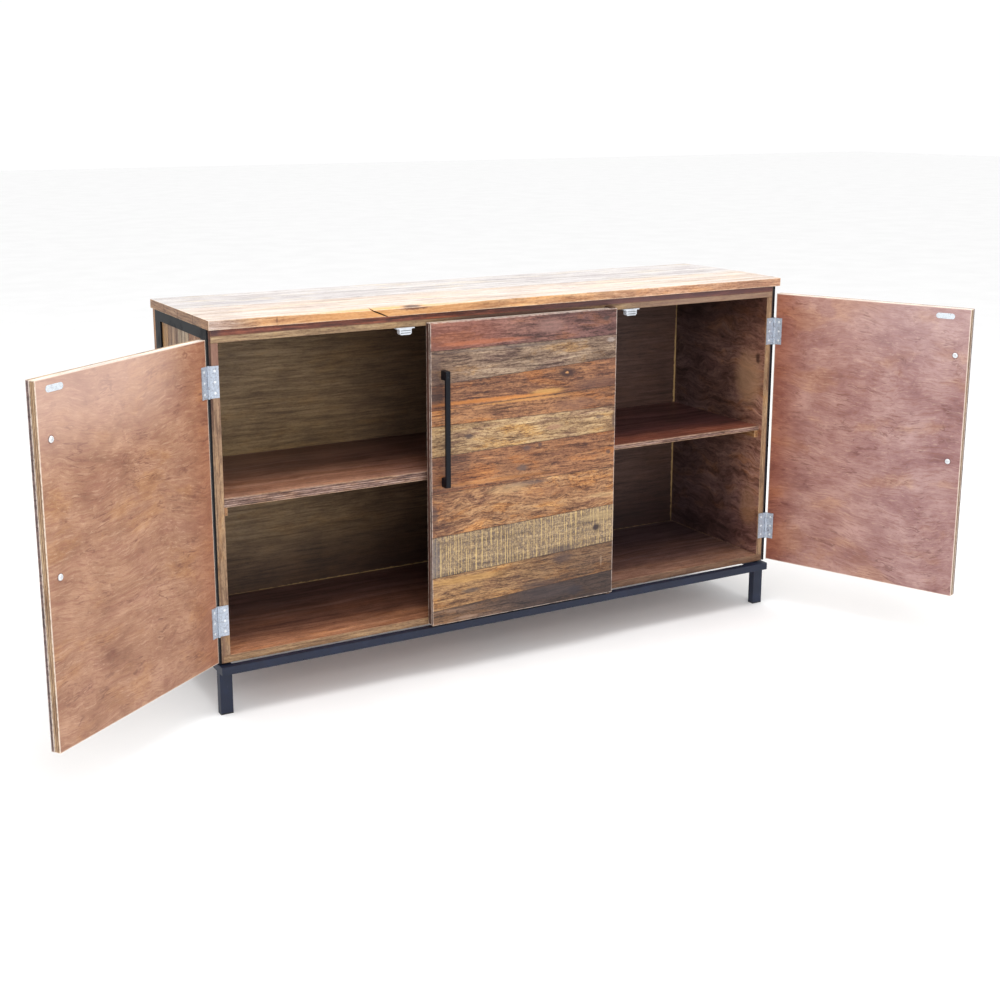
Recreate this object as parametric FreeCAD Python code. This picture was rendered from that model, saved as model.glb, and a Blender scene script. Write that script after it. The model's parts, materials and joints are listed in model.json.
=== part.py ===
import FreeCAD, Part
import os

# Industrial sideboard: a plywood carcass clad in reclaimed boards, with a plank top, steel side
# frames, a steel base ring on four legs, and three plank-faced doors.
# Millimetres, +Z up, front towards -Y. The origin is on the floor below the middle of the top.
# The outer doors are stored open, and the centre door closed.

V = FreeCAD.Vector
UP = V(0, 0, 1)
DOWN = V(0, 0, -1)

# ---------------------------------------------------------------- driving dimensions
# Top
TOP_WIDTH = 1600.0
TOP_DEPTH = 425.0
TOP_THICK = 22.0
TOP_END_BULGE = 12.0            # the right-hand end is cut to a shallow curve
# Joints between the top's boards, from the front edge: at the left end and at the right end
TOP_JOINTS = ((105, 103), (213, 188), (316, 300))
SCARF_TOP = 390.0               # slanting end joint of the front board, from the left end
SCARF_BOTTOM = 431.0

# Heights, from the floor up
GLIDE_THICK = 3.0
LEG_LENGTH = 100.0
TUBE = 19.0                     # square tube of the front and rear base rails
TUBE_WALL = 1.5
PLATE_THICK = 5.0               # mounting plates between base and carcass
BOTTOM_THICK = 18.0
OPENING_HEIGHT = 725.0
CEILING_THICK = 15.0
SPACER_HEIGHT = 16.0            # dark rails between the carcass and the top

# Carcass
CARCASS_SETBACK = 19.5          # behind the front edge of the top
CARCASS_DEPTH = 398.5
BACK_THICK = 6.0
SIDE_THICK = 17.0
CLADDING_THICK = 5.0
STEEL_THICK = 4.0
SIDE_INSET = 1.0                # steel side frames inside the ends of the top
FLAT_BAR = 40.0                 # width of the upright flat bars
CROSS_BAR = 24.0                # width of the flat bars along the top and bottom
FRAME_DEPTH = 374.0
CLADDING_BOARD = 76.0
SPACER_WIDTH = 40.0

# Shelves and the cleats that carry them
SHELF_TOP = 513.5
SHELF_SETBACK = 12.5            # behind the front edges of the carcass
WIDE_SHELF_THICK = 22.0
NARROW_SHELF_THICK = 12.5
CLEAT_WIDTH = 12.0
CLEAT_HEIGHT = 20.0
CLEAT_SETBACK = 3.0             # behind the front edge of its shelf

# Base
BASE_SETBACK = 4.5              # front rail behind the front edge of the top
LEG_WIDTH = 30.0
LEG_DEPTH = 20.0
BASE_DEPTH = 415.0
PLATE_LENGTH = 60.0
PLATE_EAR = 20.0

# Doors
DOOR_WIDTH = 528.0
DOOR_HEIGHT = 748.0
DOOR_BOTTOM = 131.0
DOOR_GAP = 4.5
DOOR_MARGIN = 3.5               # door edge to the end of the top
DOOR_STANDOFF = 6.0             # back of a closed door to the front edges of the carcass
DOOR_PLY = 15.0
DOOR_FACE = 8.0
LEFT_DOOR_OPEN = 145.0
RIGHT_DOOR_OPEN = 113.0
# Joints between a door's face planks: height at its left edge and at its right edge
LEFT_PLANKS = ((802, 808), (731, 724), (640, 646), (588, 592), (503, 496), (402, 411), (318, 312), (226, 235))
CENTRE_PLANKS = ((812, 812), (729, 755), (668, 683), (630, 629), (555, 566), (463, 470), (354, 370),
                 (252, 271), (166, 192))
RIGHT_PLANKS = ((789, 783), (705, 712), (651, 648), (548, 560), (466, 459), (389, 396), (287, 281), (197, 204))

# Butt hinges of the outer doors
KNUCKLE_OFFSET = 3.0            # pin axis to the faces that the leaves are screwed to
PIN_TO_EDGE = 2.3               # pin axis to the door's edge
KNUCKLE_RADIUS = 2.7
PIN_RADIUS = 1.6
PIN_CLEARANCE = 0.05
LEAF_THICK = 1.8
FIXED_LEAF = 24.5
DOOR_LEAF = 21.0
HINGE_HEIGHT = 72.0
KNUCKLES = 5
KNUCKLE_GAP = 0.3
LEFT_HINGE_HEIGHTS = (230.0, 784.0)
RIGHT_HINGE_HEIGHTS = (229.0, 777.0)

# Pivot hinges of the centre door
PIVOT_FROM_EDGE = 10.0
PIVOT_FROM_FACE = 8.0
PIVOT_PIN_RADIUS = 2.5
BUSH_RADIUS = 4.0
BUSH_DEPTH = 12.0
BRACKET_THICK = 2.0
BRACKET_WIDTH = 16.0
BRACKET_GAP = 1.2

# Handles
HANDLE_FROM_EDGE = 33.0
HANDLE_LOW_BOLT = 486.5
HANDLE_BOLT_SPACING = 274.0
HANDLE_WIDTH = 12.0
HANDLE_BAR_THICK = 6.5
HANDLE_REACH = 25.0
HANDLE_FOOT = 22.0
HANDLE_END = 5.0                # from a bolt's axis to the end of the handle
HANDLE_ROUND = 3.0
HANDLE_BOLT_HEAD = 7.0          # radius of its domed head
HANDLE_BOLT_DOME = 4.0

# Magnetic catches and strike plates
# From the free edge of the left, centre and right doors to the middle of each
STRIKES_FROM_EDGE = (51.0, 51.0, 64.0)
CATCHES_FROM_EDGE = (48.0, 51.0, 57.0)
STRIKE_HEIGHT_ABOVE_FLOOR = 858.0
STRIKE_LENGTH = 48.0
STRIKE_WIDTH = 14.0
STRIKE_THICK = 1.2
CATCH_GAP = 0.3
CATCH_BODY = 31.0
CATCH_FLANGE = 48.0
CATCH_EAR_THICK = 2.5
CATCH_CORNER = 3.5              # bevelled lower corners
CATCH_HEIGHT = 17.0
CATCH_DEPTH = 14.0

# ---------------------------------------------------------------- derived places
LEFT_END = -TOP_WIDTH / 2
TOP_FRONT = -TOP_DEPTH / 2
RING_BOTTOM = GLIDE_THICK + LEG_LENGTH
RING_TOP = RING_BOTTOM + TUBE
CARCASS_BOTTOM = RING_TOP + PLATE_THICK
FLOOR_TOP = CARCASS_BOTTOM + BOTTOM_THICK
CEILING = FLOOR_TOP + OPENING_HEIGHT
CARCASS_TOP = CEILING + CEILING_THICK
TOP_UNDERSIDE = CARCASS_TOP + SPACER_HEIGHT
HEIGHT = TOP_UNDERSIDE + TOP_THICK

CARCASS_FRONT = TOP_FRONT + CARCASS_SETBACK
CARCASS_BACK = CARCASS_FRONT + CARCASS_DEPTH
BACK_FACE = CARCASS_BACK + BACK_THICK
STEEL_OUTER = -LEFT_END - SIDE_INSET
CLADDING_OUTER = STEEL_OUTER - STEEL_THICK
SIDE_OUTER = CLADDING_OUTER - CLADDING_THICK
SIDE_INNER = SIDE_OUTER - SIDE_THICK
DIVIDER_MIDDLE = LEFT_END + DOOR_MARGIN + 2 * DOOR_WIDTH + 1.5 * DOOR_GAP
DIVIDER_LEFT = DIVIDER_MIDDLE - SIDE_THICK / 2
DIVIDER_RIGHT = DIVIDER_MIDDLE + SIDE_THICK / 2
SHELF_FRONT = CARCASS_FRONT + SHELF_SETBACK

DOOR_BACK = CARCASS_FRONT - DOOR_STANDOFF
DOOR_JOINT = DOOR_BACK - DOOR_PLY
DOOR_FRONT = DOOR_JOINT - DOOR_FACE
DOOR_TOP = DOOR_BOTTOM + DOOR_HEIGHT
PIN_X = -LEFT_END - DOOR_MARGIN + PIN_TO_EDGE
PIN_Y = DOOR_BACK + KNUCKLE_OFFSET
LEFT_DOOR_EDGE = LEFT_END + DOOR_MARGIN
CENTRE_DOOR_EDGE = LEFT_DOOR_EDGE + DOOR_WIDTH + DOOR_GAP
RIGHT_DOOR_EDGE = CENTRE_DOOR_EDGE + DOOR_WIDTH + DOOR_GAP
PIVOT_X = CENTRE_DOOR_EDGE + DOOR_WIDTH - PIVOT_FROM_EDGE
PIVOT_Y = DOOR_FRONT + PIVOT_FROM_FACE

nodes = {}


# ---------------------------------------------------------------- helpers
def box(x0, x1, y0, y1, z0, z1):
    return Part.makeBox(x1 - x0, y1 - y0, z1 - z0, V(x0, y0, z0))


def rod(radius, start, direction, length):
    return Part.makeCylinder(radius, length, start, direction)


def tube(outer, axis):
    """The outer box with a bore along one axis, so that only its walls are left."""
    b = outer.BoundBox
    low, high = V(b.XMin, b.YMin, b.ZMin), V(b.XMax, b.YMax, b.ZMax)
    wall = V(*[0 if name == axis else TUBE_WALL for name in "xyz"])
    low, high = low + wall, high - wall
    return outer.cut(box(low.x, high.x, low.y, high.y, low.z, high.z))


def prism_xz(points, y0, y1):
    """A solid with an outline in the XZ plane, from y0 to y1."""
    wire = Part.makePolygon([V(x, y0, z) for x, z in points + points[:1]])
    return Part.Face(wire).extrude(V(0, y1 - y0, 0))


def mirrored(shape):
    return shape.mirror(V(0, 0, 0), V(1, 0, 0))


def screw(seat, inward, length, head_radius=3.0, head_height=0.6, shank_radius=1.4):
    """A screw whose head sits on seat and whose shank runs inward."""
    head = rod(head_radius, seat - inward * head_height, inward, head_height)
    return head.fuse(rod(shank_radius, seat, inward, length)).removeSplitter()


def drill(parts, names, tools):
    """Cut the tools out of every solid of the named parts that they reach."""
    for name in names:
        cut = []
        for solid in parts[name]:
            reaching = [t for t in tools if t.BoundBox.intersect(solid.BoundBox)]
            cut.extend(solid.cut(reaching).Solids if reaching else [solid])
        parts[name] = cut


# ---------------------------------------------------------------- top
def top_plan():
    """The whole top, with the curved right-hand end."""
    z0, z1 = TOP_UNDERSIDE, HEIGHT
    end = -LEFT_END
    corners = [V(end, -TOP_FRONT, z0), V(LEFT_END, -TOP_FRONT, z0), V(LEFT_END, TOP_FRONT, z0),
               V(end, TOP_FRONT, z0)]
    curve = Part.Arc(corners[3], V(end + TOP_END_BULGE, 0, z0), corners[0]).toShape()
    wire = Part.Wire([Part.makePolygon(corners).Edges[i] for i in range(3)] + [curve])
    return Part.Face(wire).extrude(V(0, 0, z1 - z0))


def strip_of_top(near, far):
    """What lies between two joints, each given at the left end and at the right end."""
    x0, x1 = LEFT_END, -LEFT_END + TOP_END_BULGE
    ys = [TOP_FRONT + y for y in near + far[::-1]]
    wire = Part.makePolygon([V(x, y, TOP_UNDERSIDE) for x, y in zip((x0, x1, x1, x0, x0), ys + ys[:1])])
    return Part.Face(wire).extrude(V(0, 0, TOP_THICK))


def make_top():
    joints = [(0, 0)] + list(TOP_JOINTS) + [(TOP_DEPTH, TOP_DEPTH)]
    plan = top_plan()
    strips = [plan.common(strip_of_top(near, far)) for near, far in zip(joints, joints[1:])]
    for name, strip in zip(("second", "third", "back"), strips[1:]):
        nodes["top_board_" + name] = strip.Solids
    scarf = [(LEFT_END, TOP_UNDERSIDE), (LEFT_END + SCARF_BOTTOM, TOP_UNDERSIDE),
             (LEFT_END + SCARF_TOP, HEIGHT), (LEFT_END, HEIGHT)]
    left_of_scarf = prism_xz(scarf, TOP_FRONT, -TOP_FRONT)
    nodes["top_board_front_left"] = strips[0].common(left_of_scarf).Solids
    nodes["top_board_front_right"] = strips[0].cut(left_of_scarf).Solids


def make_spacers():
    z0, z1 = CARCASS_TOP, TOP_UNDERSIDE
    back = CARCASS_BACK - SPACER_WIDTH
    front = CARCASS_FRONT + SPACER_WIDTH
    side = box(-SIDE_OUTER, -SIDE_OUTER + SPACER_WIDTH, front, back, z0, z1)
    nodes["front_spacer_rail"] = [box(-SIDE_OUTER, SIDE_OUTER, CARCASS_FRONT, front, z0, z1)]
    nodes["rear_spacer_rail"] = [box(-SIDE_OUTER, SIDE_OUTER, back, CARCASS_BACK, z0, z1)]
    nodes["side_spacer_rails"] = [side, mirrored(side)]


# ---------------------------------------------------------------- carcass
def make_carcass():
    y0, y1 = CARCASS_FRONT, CARCASS_BACK
    side = box(-SIDE_OUTER, -SIDE_INNER, y0, y1, FLOOR_TOP, CEILING)
    nodes["bottom_panel"] = [box(-SIDE_OUTER, SIDE_OUTER, y0, y1, CARCASS_BOTTOM, FLOOR_TOP)]
    nodes["top_panel"] = [box(-SIDE_OUTER, SIDE_OUTER, y0, y1, CEILING, CARCASS_TOP)]
    nodes["left_side_panel"] = [side]
    nodes["right_side_panel"] = [mirrored(side)]
    nodes["divider_panel"] = [box(DIVIDER_LEFT, DIVIDER_RIGHT, y0, y1, FLOOR_TOP, CEILING)]
    nodes["wide_back_panel"] = [box(-SIDE_OUTER, DIVIDER_MIDDLE, y1, BACK_FACE, CARCASS_BOTTOM, TOP_UNDERSIDE)]
    nodes["narrow_back_panel"] = [box(DIVIDER_MIDDLE, SIDE_OUTER, y1, BACK_FACE, CARCASS_BOTTOM, TOP_UNDERSIDE)]


def make_shelves():
    wide_under = SHELF_TOP - WIDE_SHELF_THICK
    narrow_under = SHELF_TOP - NARROW_SHELF_THICK
    cleat_front = SHELF_FRONT + CLEAT_SETBACK
    left, right = -SIDE_INNER, SIDE_INNER
    back = CARCASS_BACK

    def cleat(x0, x1, y0, under):
        return box(x0, x1, y0, back, under - CLEAT_HEIGHT, under)

    nodes["wide_shelf"] = [box(left, DIVIDER_LEFT, SHELF_FRONT, back, wide_under, SHELF_TOP)]
    nodes["narrow_shelf"] = [box(DIVIDER_RIGHT, right, SHELF_FRONT, back, narrow_under, SHELF_TOP)]
    nodes["wide_shelf_cleats"] = [
        cleat(left, left + CLEAT_WIDTH, cleat_front, wide_under),
        cleat(DIVIDER_LEFT - CLEAT_WIDTH, DIVIDER_LEFT, cleat_front, wide_under),
        cleat(left + CLEAT_WIDTH, DIVIDER_LEFT - CLEAT_WIDTH, back - CLEAT_WIDTH, wide_under)]
    nodes["narrow_shelf_cleats"] = [
        cleat(DIVIDER_RIGHT, DIVIDER_RIGHT + CLEAT_WIDTH, cleat_front, narrow_under),
        cleat(right - CLEAT_WIDTH, right, cleat_front, narrow_under)]


def make_sides():
    """Welded flat-bar frame and upright reclaimed boards behind it, on each side."""
    z0, z1 = CARCASS_BOTTOM, TOP_UNDERSIDE
    front, back = CARCASS_FRONT, CARCASS_FRONT + FRAME_DEPTH
    x0, x1, x2 = -STEEL_OUTER, -CLADDING_OUTER, -SIDE_OUTER
    frame = [box(x0, x1, front, front + FLAT_BAR, z0, z1),
             box(x0, x1, back - FLAT_BAR, back, z0, z1),
             box(x0, x1, front + FLAT_BAR, back - FLAT_BAR, z1 - CROSS_BAR, z1),
             box(x0, x1, front + FLAT_BAR, back - FLAT_BAR, z0, z0 + CROSS_BAR)]
    edges = [BACK_FACE, BACK_FACE - FLAT_BAR]
    while edges[-1] - CLADDING_BOARD > front:
        edges.append(edges[-1] - CLADDING_BOARD)
    edges.append(front)
    boards = [box(x1, x2, near, far, z0, z1) for far, near in zip(edges, edges[1:])]
    nodes["left_side_frame"] = frame
    nodes["left_side_cladding"] = boards
    nodes["right_side_frame"] = [mirrored(s) for s in frame]
    nodes["right_side_cladding"] = [mirrored(s) for s in boards]


# ---------------------------------------------------------------- base
def capped_rail(y0, y1):
    """A full-width tube with a plate welded into each end."""
    z0, z1 = RING_BOTTOM, RING_TOP
    x = LEFT_END + TUBE_WALL
    cap = box(LEFT_END, x, y0, y1, z0, z1)
    return [tube(box(x, -x, y0, y1, z0, z1), "x"), cap, mirrored(cap)]


def make_base():
    z0, z1 = RING_BOTTOM, RING_TOP
    front = TOP_FRONT + BASE_SETBACK
    back = front + BASE_DEPTH
    inner = (front + TUBE, back - TUBE)
    half = LEG_WIDTH / 2
    left_rail = tube(box(LEFT_END, LEFT_END + LEG_WIDTH, inner[0], inner[1], z0, z1), "y")
    nodes["base_front_rail"] = capped_rail(front, front + TUBE)
    nodes["base_rear_rail"] = capped_rail(back - TUBE, back)
    nodes["base_left_rail"] = [left_rail]
    nodes["base_right_rail"] = [mirrored(left_rail)]
    nodes["base_centre_rail"] = [tube(box(-half, half, inner[0], inner[1], z0, z1), "y")]
    legs, glides = [], []
    for y0 in (inner[0], inner[1] - LEG_DEPTH):
        leg = tube(box(LEFT_END, LEFT_END + LEG_WIDTH, y0, y0 + LEG_DEPTH, GLIDE_THICK, z0), "z")
        glide = box(LEFT_END, LEFT_END + LEG_WIDTH, y0, y0 + LEG_DEPTH, 0, GLIDE_THICK)
        legs += [leg, mirrored(leg)]
        glides += [glide, mirrored(glide)]
    nodes["base_legs"] = legs
    nodes["leg_glides"] = glides
    make_mounting_plates(inner[0] + LEG_DEPTH, inner[1] - LEG_DEPTH - PLATE_LENGTH)


def make_mounting_plates(front_y, back_y):
    """Plates on the base's side and centre rails, with ears screwed up into the carcass."""
    plates, screws = [], []
    half = LEG_WIDTH / 2
    for y0 in (front_y, back_y):
        ear_x = LEFT_END + LEG_WIDTH + PLATE_EAR / 2
        corner = box(LEFT_END, ear_x + PLATE_EAR / 2, y0, y0 + PLATE_LENGTH, RING_TOP, CARCASS_BOTTOM)
        middle = box(-half - PLATE_EAR, half + PLATE_EAR, y0, y0 + PLATE_LENGTH, RING_TOP, CARCASS_BOTTOM)
        plates += [corner, mirrored(corner), middle]
        for x in (ear_x, -ear_x, half + PLATE_EAR / 2, -half - PLATE_EAR / 2):
            for y in (y0 + PLATE_LENGTH / 4, y0 + PLATE_LENGTH * 3 / 4):
                screws.append(screw(V(x, y, RING_TOP), UP, 18, 4.5, 2.0, 2.0))
    nodes["base_mounting_plates"] = plates
    nodes["base_screws"] = screws
    drill(nodes, ["base_mounting_plates", "bottom_panel"], screws)


def make_top_screws():
    """Screws up through the ceiling panel and spacer rails into the boards of the top."""
    front = CARCASS_FRONT + SPACER_WIDTH / 2
    back = CARCASS_BACK - SPACER_WIDTH / 2
    places = [(x, y) for x in (-660, -230, 200, 660) for y in (front, back)]
    places += [(side * (SIDE_OUTER - 32), y) for side in (-1, 1) for y in (-55, 45)]
    screws = [screw(V(x, y, CEILING), UP, 45, 4.5, 2.0, 2.0) for x, y in places]
    nodes["top_screws"] = screws
    drill(nodes, ["top_panel", "front_spacer_rail", "rear_spacer_rail", "side_spacer_rails",
                  "top_board_front_left", "top_board_front_right", "top_board_second",
                  "top_board_third", "top_board_back"], screws)


# ---------------------------------------------------------------- butt hinges
def knuckle_spans(height):
    """(low, high) of each knuckle of a hinge centred at this height, from the bottom up."""
    pitch = HINGE_HEIGHT / KNUCKLES
    low = height - HINGE_HEIGHT / 2
    return [(low + i * pitch, low + (i + 1) * pitch) for i in range(KNUCKLES)]


def hinge_leaf(height, width, face_y, first):
    """A leaf lying along +X from the pin at the left-hand side, with every second knuckle."""
    x, y = -PIN_X, PIN_Y
    inner_y = face_y - LEAF_THICK if face_y > y else face_y + LEAF_THICK
    y0, y1 = min(face_y, inner_y), max(face_y, inner_y)
    low, high = height - HINGE_HEIGHT / 2, height + HINGE_HEIGHT / 2
    leaf = box(x, x + width, y0, y1, low, high)
    barrels = []
    for i, (z0, z1) in enumerate(knuckle_spans(height)):
        if i % 2 == first:
            end_gap = KNUCKLE_GAP / 2
            barrels.append(rod(KNUCKLE_RADIUS, V(x, y, z0 + end_gap), UP, z1 - z0 - 2 * end_gap))
        else:
            reach = KNUCKLE_RADIUS + KNUCKLE_GAP
            leaf = leaf.cut(box(x - 1, x + reach, y0 - 1, y1 + 1, z0 - KNUCKLE_GAP / 2, z1 + KNUCKLE_GAP / 2))
    leaf = leaf.fuse(barrels).removeSplitter()
    return leaf.cut(rod(PIN_RADIUS + PIN_CLEARANCE, V(x, y, low - 5), UP, HINGE_HEIGHT + 10)).Solids[0]


def hinge_pin(height):
    low = height - HINGE_HEIGHT / 2
    pin = rod(PIN_RADIUS, V(-PIN_X, PIN_Y, low), UP, HINGE_HEIGHT)
    caps = [rod(KNUCKLE_RADIUS, V(-PIN_X, PIN_Y, z), UP, 1.0) for z in (low - 1, low + HINGE_HEIGHT)]
    return pin.fuse(caps).removeSplitter()


def leaf_screws(height, width, face_y, inward):
    """Three screws through a leaf, into the panel behind it."""
    x = -PIN_X + width * 0.62
    seat_y = face_y - inward.y * LEAF_THICK
    return [screw(V(x, seat_y, height + dz), inward, 13) for dz in (-25, 0, 25)]


def make_fixed_hinges():
    """Leaves on the front edges of the side panels, their pins and their screws."""
    leaves, pins, screws = [], [], []
    inward = V(0, 1, 0)
    for heights, place in ((LEFT_HINGE_HEIGHTS, lambda s: s), (RIGHT_HINGE_HEIGHTS, mirrored)):
        for height in heights:
            leaves.append(place(hinge_leaf(height, FIXED_LEAF, CARCASS_FRONT, 0)))
            pins.append(place(hinge_pin(height)))
            screws += [place(s) for s in leaf_screws(height, FIXED_LEAF, CARCASS_FRONT, inward)]
    nodes["fixed_hinge_leaves"] = leaves
    nodes["hinge_pins"] = pins
    drill(nodes, ["fixed_hinge_leaves", "left_side_panel", "right_side_panel"], screws)
    return screws


# ---------------------------------------------------------------- pivot hinges and catches
def pivot_bracket(z_arm, z_pin, leaf_low, leaf_high):
    """An angle screwed to the carcass, with an arm that carries a pin for the centre door."""
    half = BRACKET_WIDTH / 2
    face = CARCASS_FRONT - BRACKET_THICK
    leaf = box(PIVOT_X - half, PIVOT_X + half, face, CARCASS_FRONT, leaf_low, leaf_high)
    arm = box(PIVOT_X - half, PIVOT_X + half, PIVOT_Y, CARCASS_FRONT, z_arm, z_arm + BRACKET_THICK)
    tip = rod(half, V(PIVOT_X, PIVOT_Y, z_arm), UP, BRACKET_THICK)
    pin = rod(PIVOT_PIN_RADIUS, V(PIVOT_X, PIVOT_Y, min(z_arm, z_pin)), UP, abs(z_pin - z_arm))
    return leaf.fuse([arm, tip, pin]).removeSplitter()


def make_pivots():
    z_upper = DOOR_TOP + BRACKET_GAP
    z_lower = DOOR_BOTTOM - BRACKET_GAP - BRACKET_THICK
    pin_length = BUSH_DEPTH - 2
    upper_leaf = (CEILING + 1, z_upper + BRACKET_THICK)
    lower_leaf = (z_lower, FLOOR_TOP - 1)
    nodes["upper_pivot_bracket"] = [pivot_bracket(z_upper, DOOR_TOP - pin_length, *upper_leaf)]
    nodes["lower_pivot_bracket"] = [pivot_bracket(z_lower, DOOR_BOTTOM + pin_length, *lower_leaf)]
    seat_y = CARCASS_FRONT - BRACKET_THICK
    screws = [screw(V(PIVOT_X + dx, seat_y, z), V(0, 1, 0), 14, 2.5, 0.5, 1.4)
              for z in (z_upper - 5, z_lower + 6) for dx in (-4.5, 4.5)]
    drill(nodes, ["upper_pivot_bracket", "lower_pivot_bracket", "top_panel", "bottom_panel"], screws)
    return screws


def catch_outline(x):
    """Front view of a catch: a body with bevelled lower corners, hanging between two ears."""
    half, corner, ear = CATCH_BODY / 2, CATCH_CORNER, CATCH_FLANGE / 2
    right = [(ear, 0), (ear, -CATCH_EAR_THICK), (half + 2, -CATCH_EAR_THICK), (half, -2 * CATCH_EAR_THICK),
             (half, corner - CATCH_HEIGHT), (half - corner, -CATCH_HEIGHT)]
    left = [(-dx, dz) for dx, dz in reversed(right)]
    return [(x + dx, CEILING + dz) for dx, dz in right + left]


def make_catches():
    """Magnetic catches under the ceiling, one behind the free top corner of each door."""
    catches, screws = [], []
    front = DOOR_BACK + STRIKE_THICK + CATCH_GAP
    for x in from_free_edges(CATCHES_FROM_EDGE):
        catches.append(prism_xz(catch_outline(x), front, front + CATCH_DEPTH))
        for dx in (-20.75, 20.75):
            seat = V(x + dx, front + CATCH_DEPTH / 2, CEILING - CATCH_EAR_THICK)
            screws.append(screw(seat, UP, 11, 2.5, 0.6, 1.2))
    nodes["magnetic_catches"] = catches
    drill(nodes, ["magnetic_catches", "top_panel"], screws)
    return screws


def from_free_edges(distances):
    """X of something at these distances from the free edges of the closed doors."""
    left, centre, right = distances
    return LEFT_DOOR_EDGE + DOOR_WIDTH - left, CENTRE_DOOR_EDGE + centre, RIGHT_DOOR_EDGE + right


# ---------------------------------------------------------------- doors
def face_planks(x0, joints):
    """Planks across a door face, from the top down, with slightly slanting joints."""
    edges = [(DOOR_TOP, DOOR_TOP)] + list(joints) + [(DOOR_BOTTOM, DOOR_BOTTOM)]
    x1 = x0 + DOOR_WIDTH
    return [prism_xz([(x0, low[0]), (x1, low[1]), (x1, high[1]), (x0, high[0])], DOOR_FRONT, DOOR_JOINT)
            for high, low in zip(edges, edges[1:])]


def handle(x):
    """A flat bar on two deep feet, with its outer corners rounded."""
    low = HANDLE_LOW_BOLT - HANDLE_END
    high = HANDLE_LOW_BOLT + HANDLE_BOLT_SPACING + HANDLE_END
    x0, x1 = x - HANDLE_WIDTH / 2, x + HANDLE_WIDTH / 2
    outer = DOOR_FRONT - HANDLE_REACH
    bar = box(x0, x1, outer, outer + HANDLE_BAR_THICK, low, high)
    feet = [box(x0, x1, outer, DOOR_FRONT, z, z + HANDLE_FOOT) for z in (low, high - HANDLE_FOOT)]
    body = bar.fuse(feet).removeSplitter()
    corners = [e for e in body.Edges
               if abs(e.CenterOfMass.y - outer) < 0.01 and min(abs(e.CenterOfMass.z - low),
                                                               abs(e.CenterOfMass.z - high)) < 0.01]
    return body.makeFillet(HANDLE_ROUND, corners)


def handle_bolts(x):
    """Bolts from the inside of the door into the handle's feet."""
    length = DOOR_PLY + DOOR_FACE + 12
    return [screw(V(x, DOOR_BACK, z), V(0, -1, 0), length, HANDLE_BOLT_HEAD, HANDLE_BOLT_DOME, 2.0)
            for z in (HANDLE_LOW_BOLT, HANDLE_LOW_BOLT + HANDLE_BOLT_SPACING)]


def make_door(side, x0, joints, handle_x, strike_x):
    """Everything on one closed door apart from its hinges: a dictionary of named solids."""
    door = {}
    name = side + "_door_"
    x1 = x0 + DOOR_WIDTH
    door[name + "panel"] = [box(x0, x1, DOOR_JOINT, DOOR_BACK, DOOR_BOTTOM, DOOR_TOP)]
    door[name + "face_planks"] = face_planks(x0, joints)
    door[name + "handle"] = [handle(handle_x)]
    door[name + "handle_bolts"] = handle_bolts(handle_x)
    strike_z = STRIKE_HEIGHT_ABOVE_FLOOR
    door[name + "strike_plate"] = [box(strike_x - STRIKE_LENGTH / 2, strike_x + STRIKE_LENGTH / 2, DOOR_BACK,
                                       DOOR_BACK + STRIKE_THICK, strike_z - STRIKE_WIDTH / 2,
                                       strike_z + STRIKE_WIDTH / 2)]
    seat_y = DOOR_BACK + STRIKE_THICK
    screws = [screw(V(strike_x + dx, seat_y, strike_z), V(0, -1, 0), 12, 2.4, 0.2, 1.2) for dx in (-18, 18)]
    door[name + "screws"] = screws
    drill(door, [name + "panel", name + "strike_plate"], screws)
    drill(door, [name + "panel", name + "face_planks", name + "handle"], door[name + "handle_bolts"])
    return door


def add_butt_hinges(door, side, heights, place):
    """The door's hinge leaves and their screws, on the closed door."""
    name = side + "_door_"
    inward = V(0, -1, 0)
    leaves = [place(hinge_leaf(z, DOOR_LEAF, DOOR_BACK, 1)) for z in heights]
    screws = [place(s) for z in heights for s in leaf_screws(z, DOOR_LEAF, DOOR_BACK, inward)]
    door[name + "hinge_leaves"] = leaves
    door[name + "screws"] += screws
    drill(door, [name + "hinge_leaves", name + "panel"], screws)


def swing(door, angle, pin_x):
    """Turn a closed door about its upright pin axis and put its parts among the nodes."""
    for name, solids in door.items():
        for solid in solids:
            solid.rotate(V(pin_x, PIN_Y, 0), UP, angle)
        nodes[name] = solids


def make_outer_doors():
    left_strike, _, right_strike = from_free_edges(STRIKES_FROM_EDGE)
    left = make_door("left", LEFT_DOOR_EDGE, LEFT_PLANKS,
                     LEFT_DOOR_EDGE + DOOR_WIDTH - HANDLE_FROM_EDGE, left_strike)
    add_butt_hinges(left, "left", LEFT_HINGE_HEIGHTS, lambda s: s)
    swing(left, -LEFT_DOOR_OPEN, -PIN_X)
    right = make_door("right", RIGHT_DOOR_EDGE, RIGHT_PLANKS, RIGHT_DOOR_EDGE + HANDLE_FROM_EDGE, right_strike)
    add_butt_hinges(right, "right", RIGHT_HINGE_HEIGHTS, mirrored)
    swing(right, RIGHT_DOOR_OPEN, PIN_X)


def make_centre_door():
    strike = from_free_edges(STRIKES_FROM_EDGE)[1]
    door = make_door("centre", CENTRE_DOOR_EDGE, CENTRE_PLANKS, CENTRE_DOOR_EDGE + HANDLE_FROM_EDGE, strike)
    bushes = []
    for z in (DOOR_BOTTOM, DOOR_TOP - BUSH_DEPTH):
        outer = rod(BUSH_RADIUS, V(PIVOT_X, PIVOT_Y, z), UP, BUSH_DEPTH)
        bushes.append(outer.cut(rod(PIVOT_PIN_RADIUS + PIN_CLEARANCE, V(PIVOT_X, PIVOT_Y, z), UP, BUSH_DEPTH)))
        drill(door, ["centre_door_panel", "centre_door_face_planks"], [outer])
    door["centre_door_pivot_bushes"] = bushes
    nodes.update(door)


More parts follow.
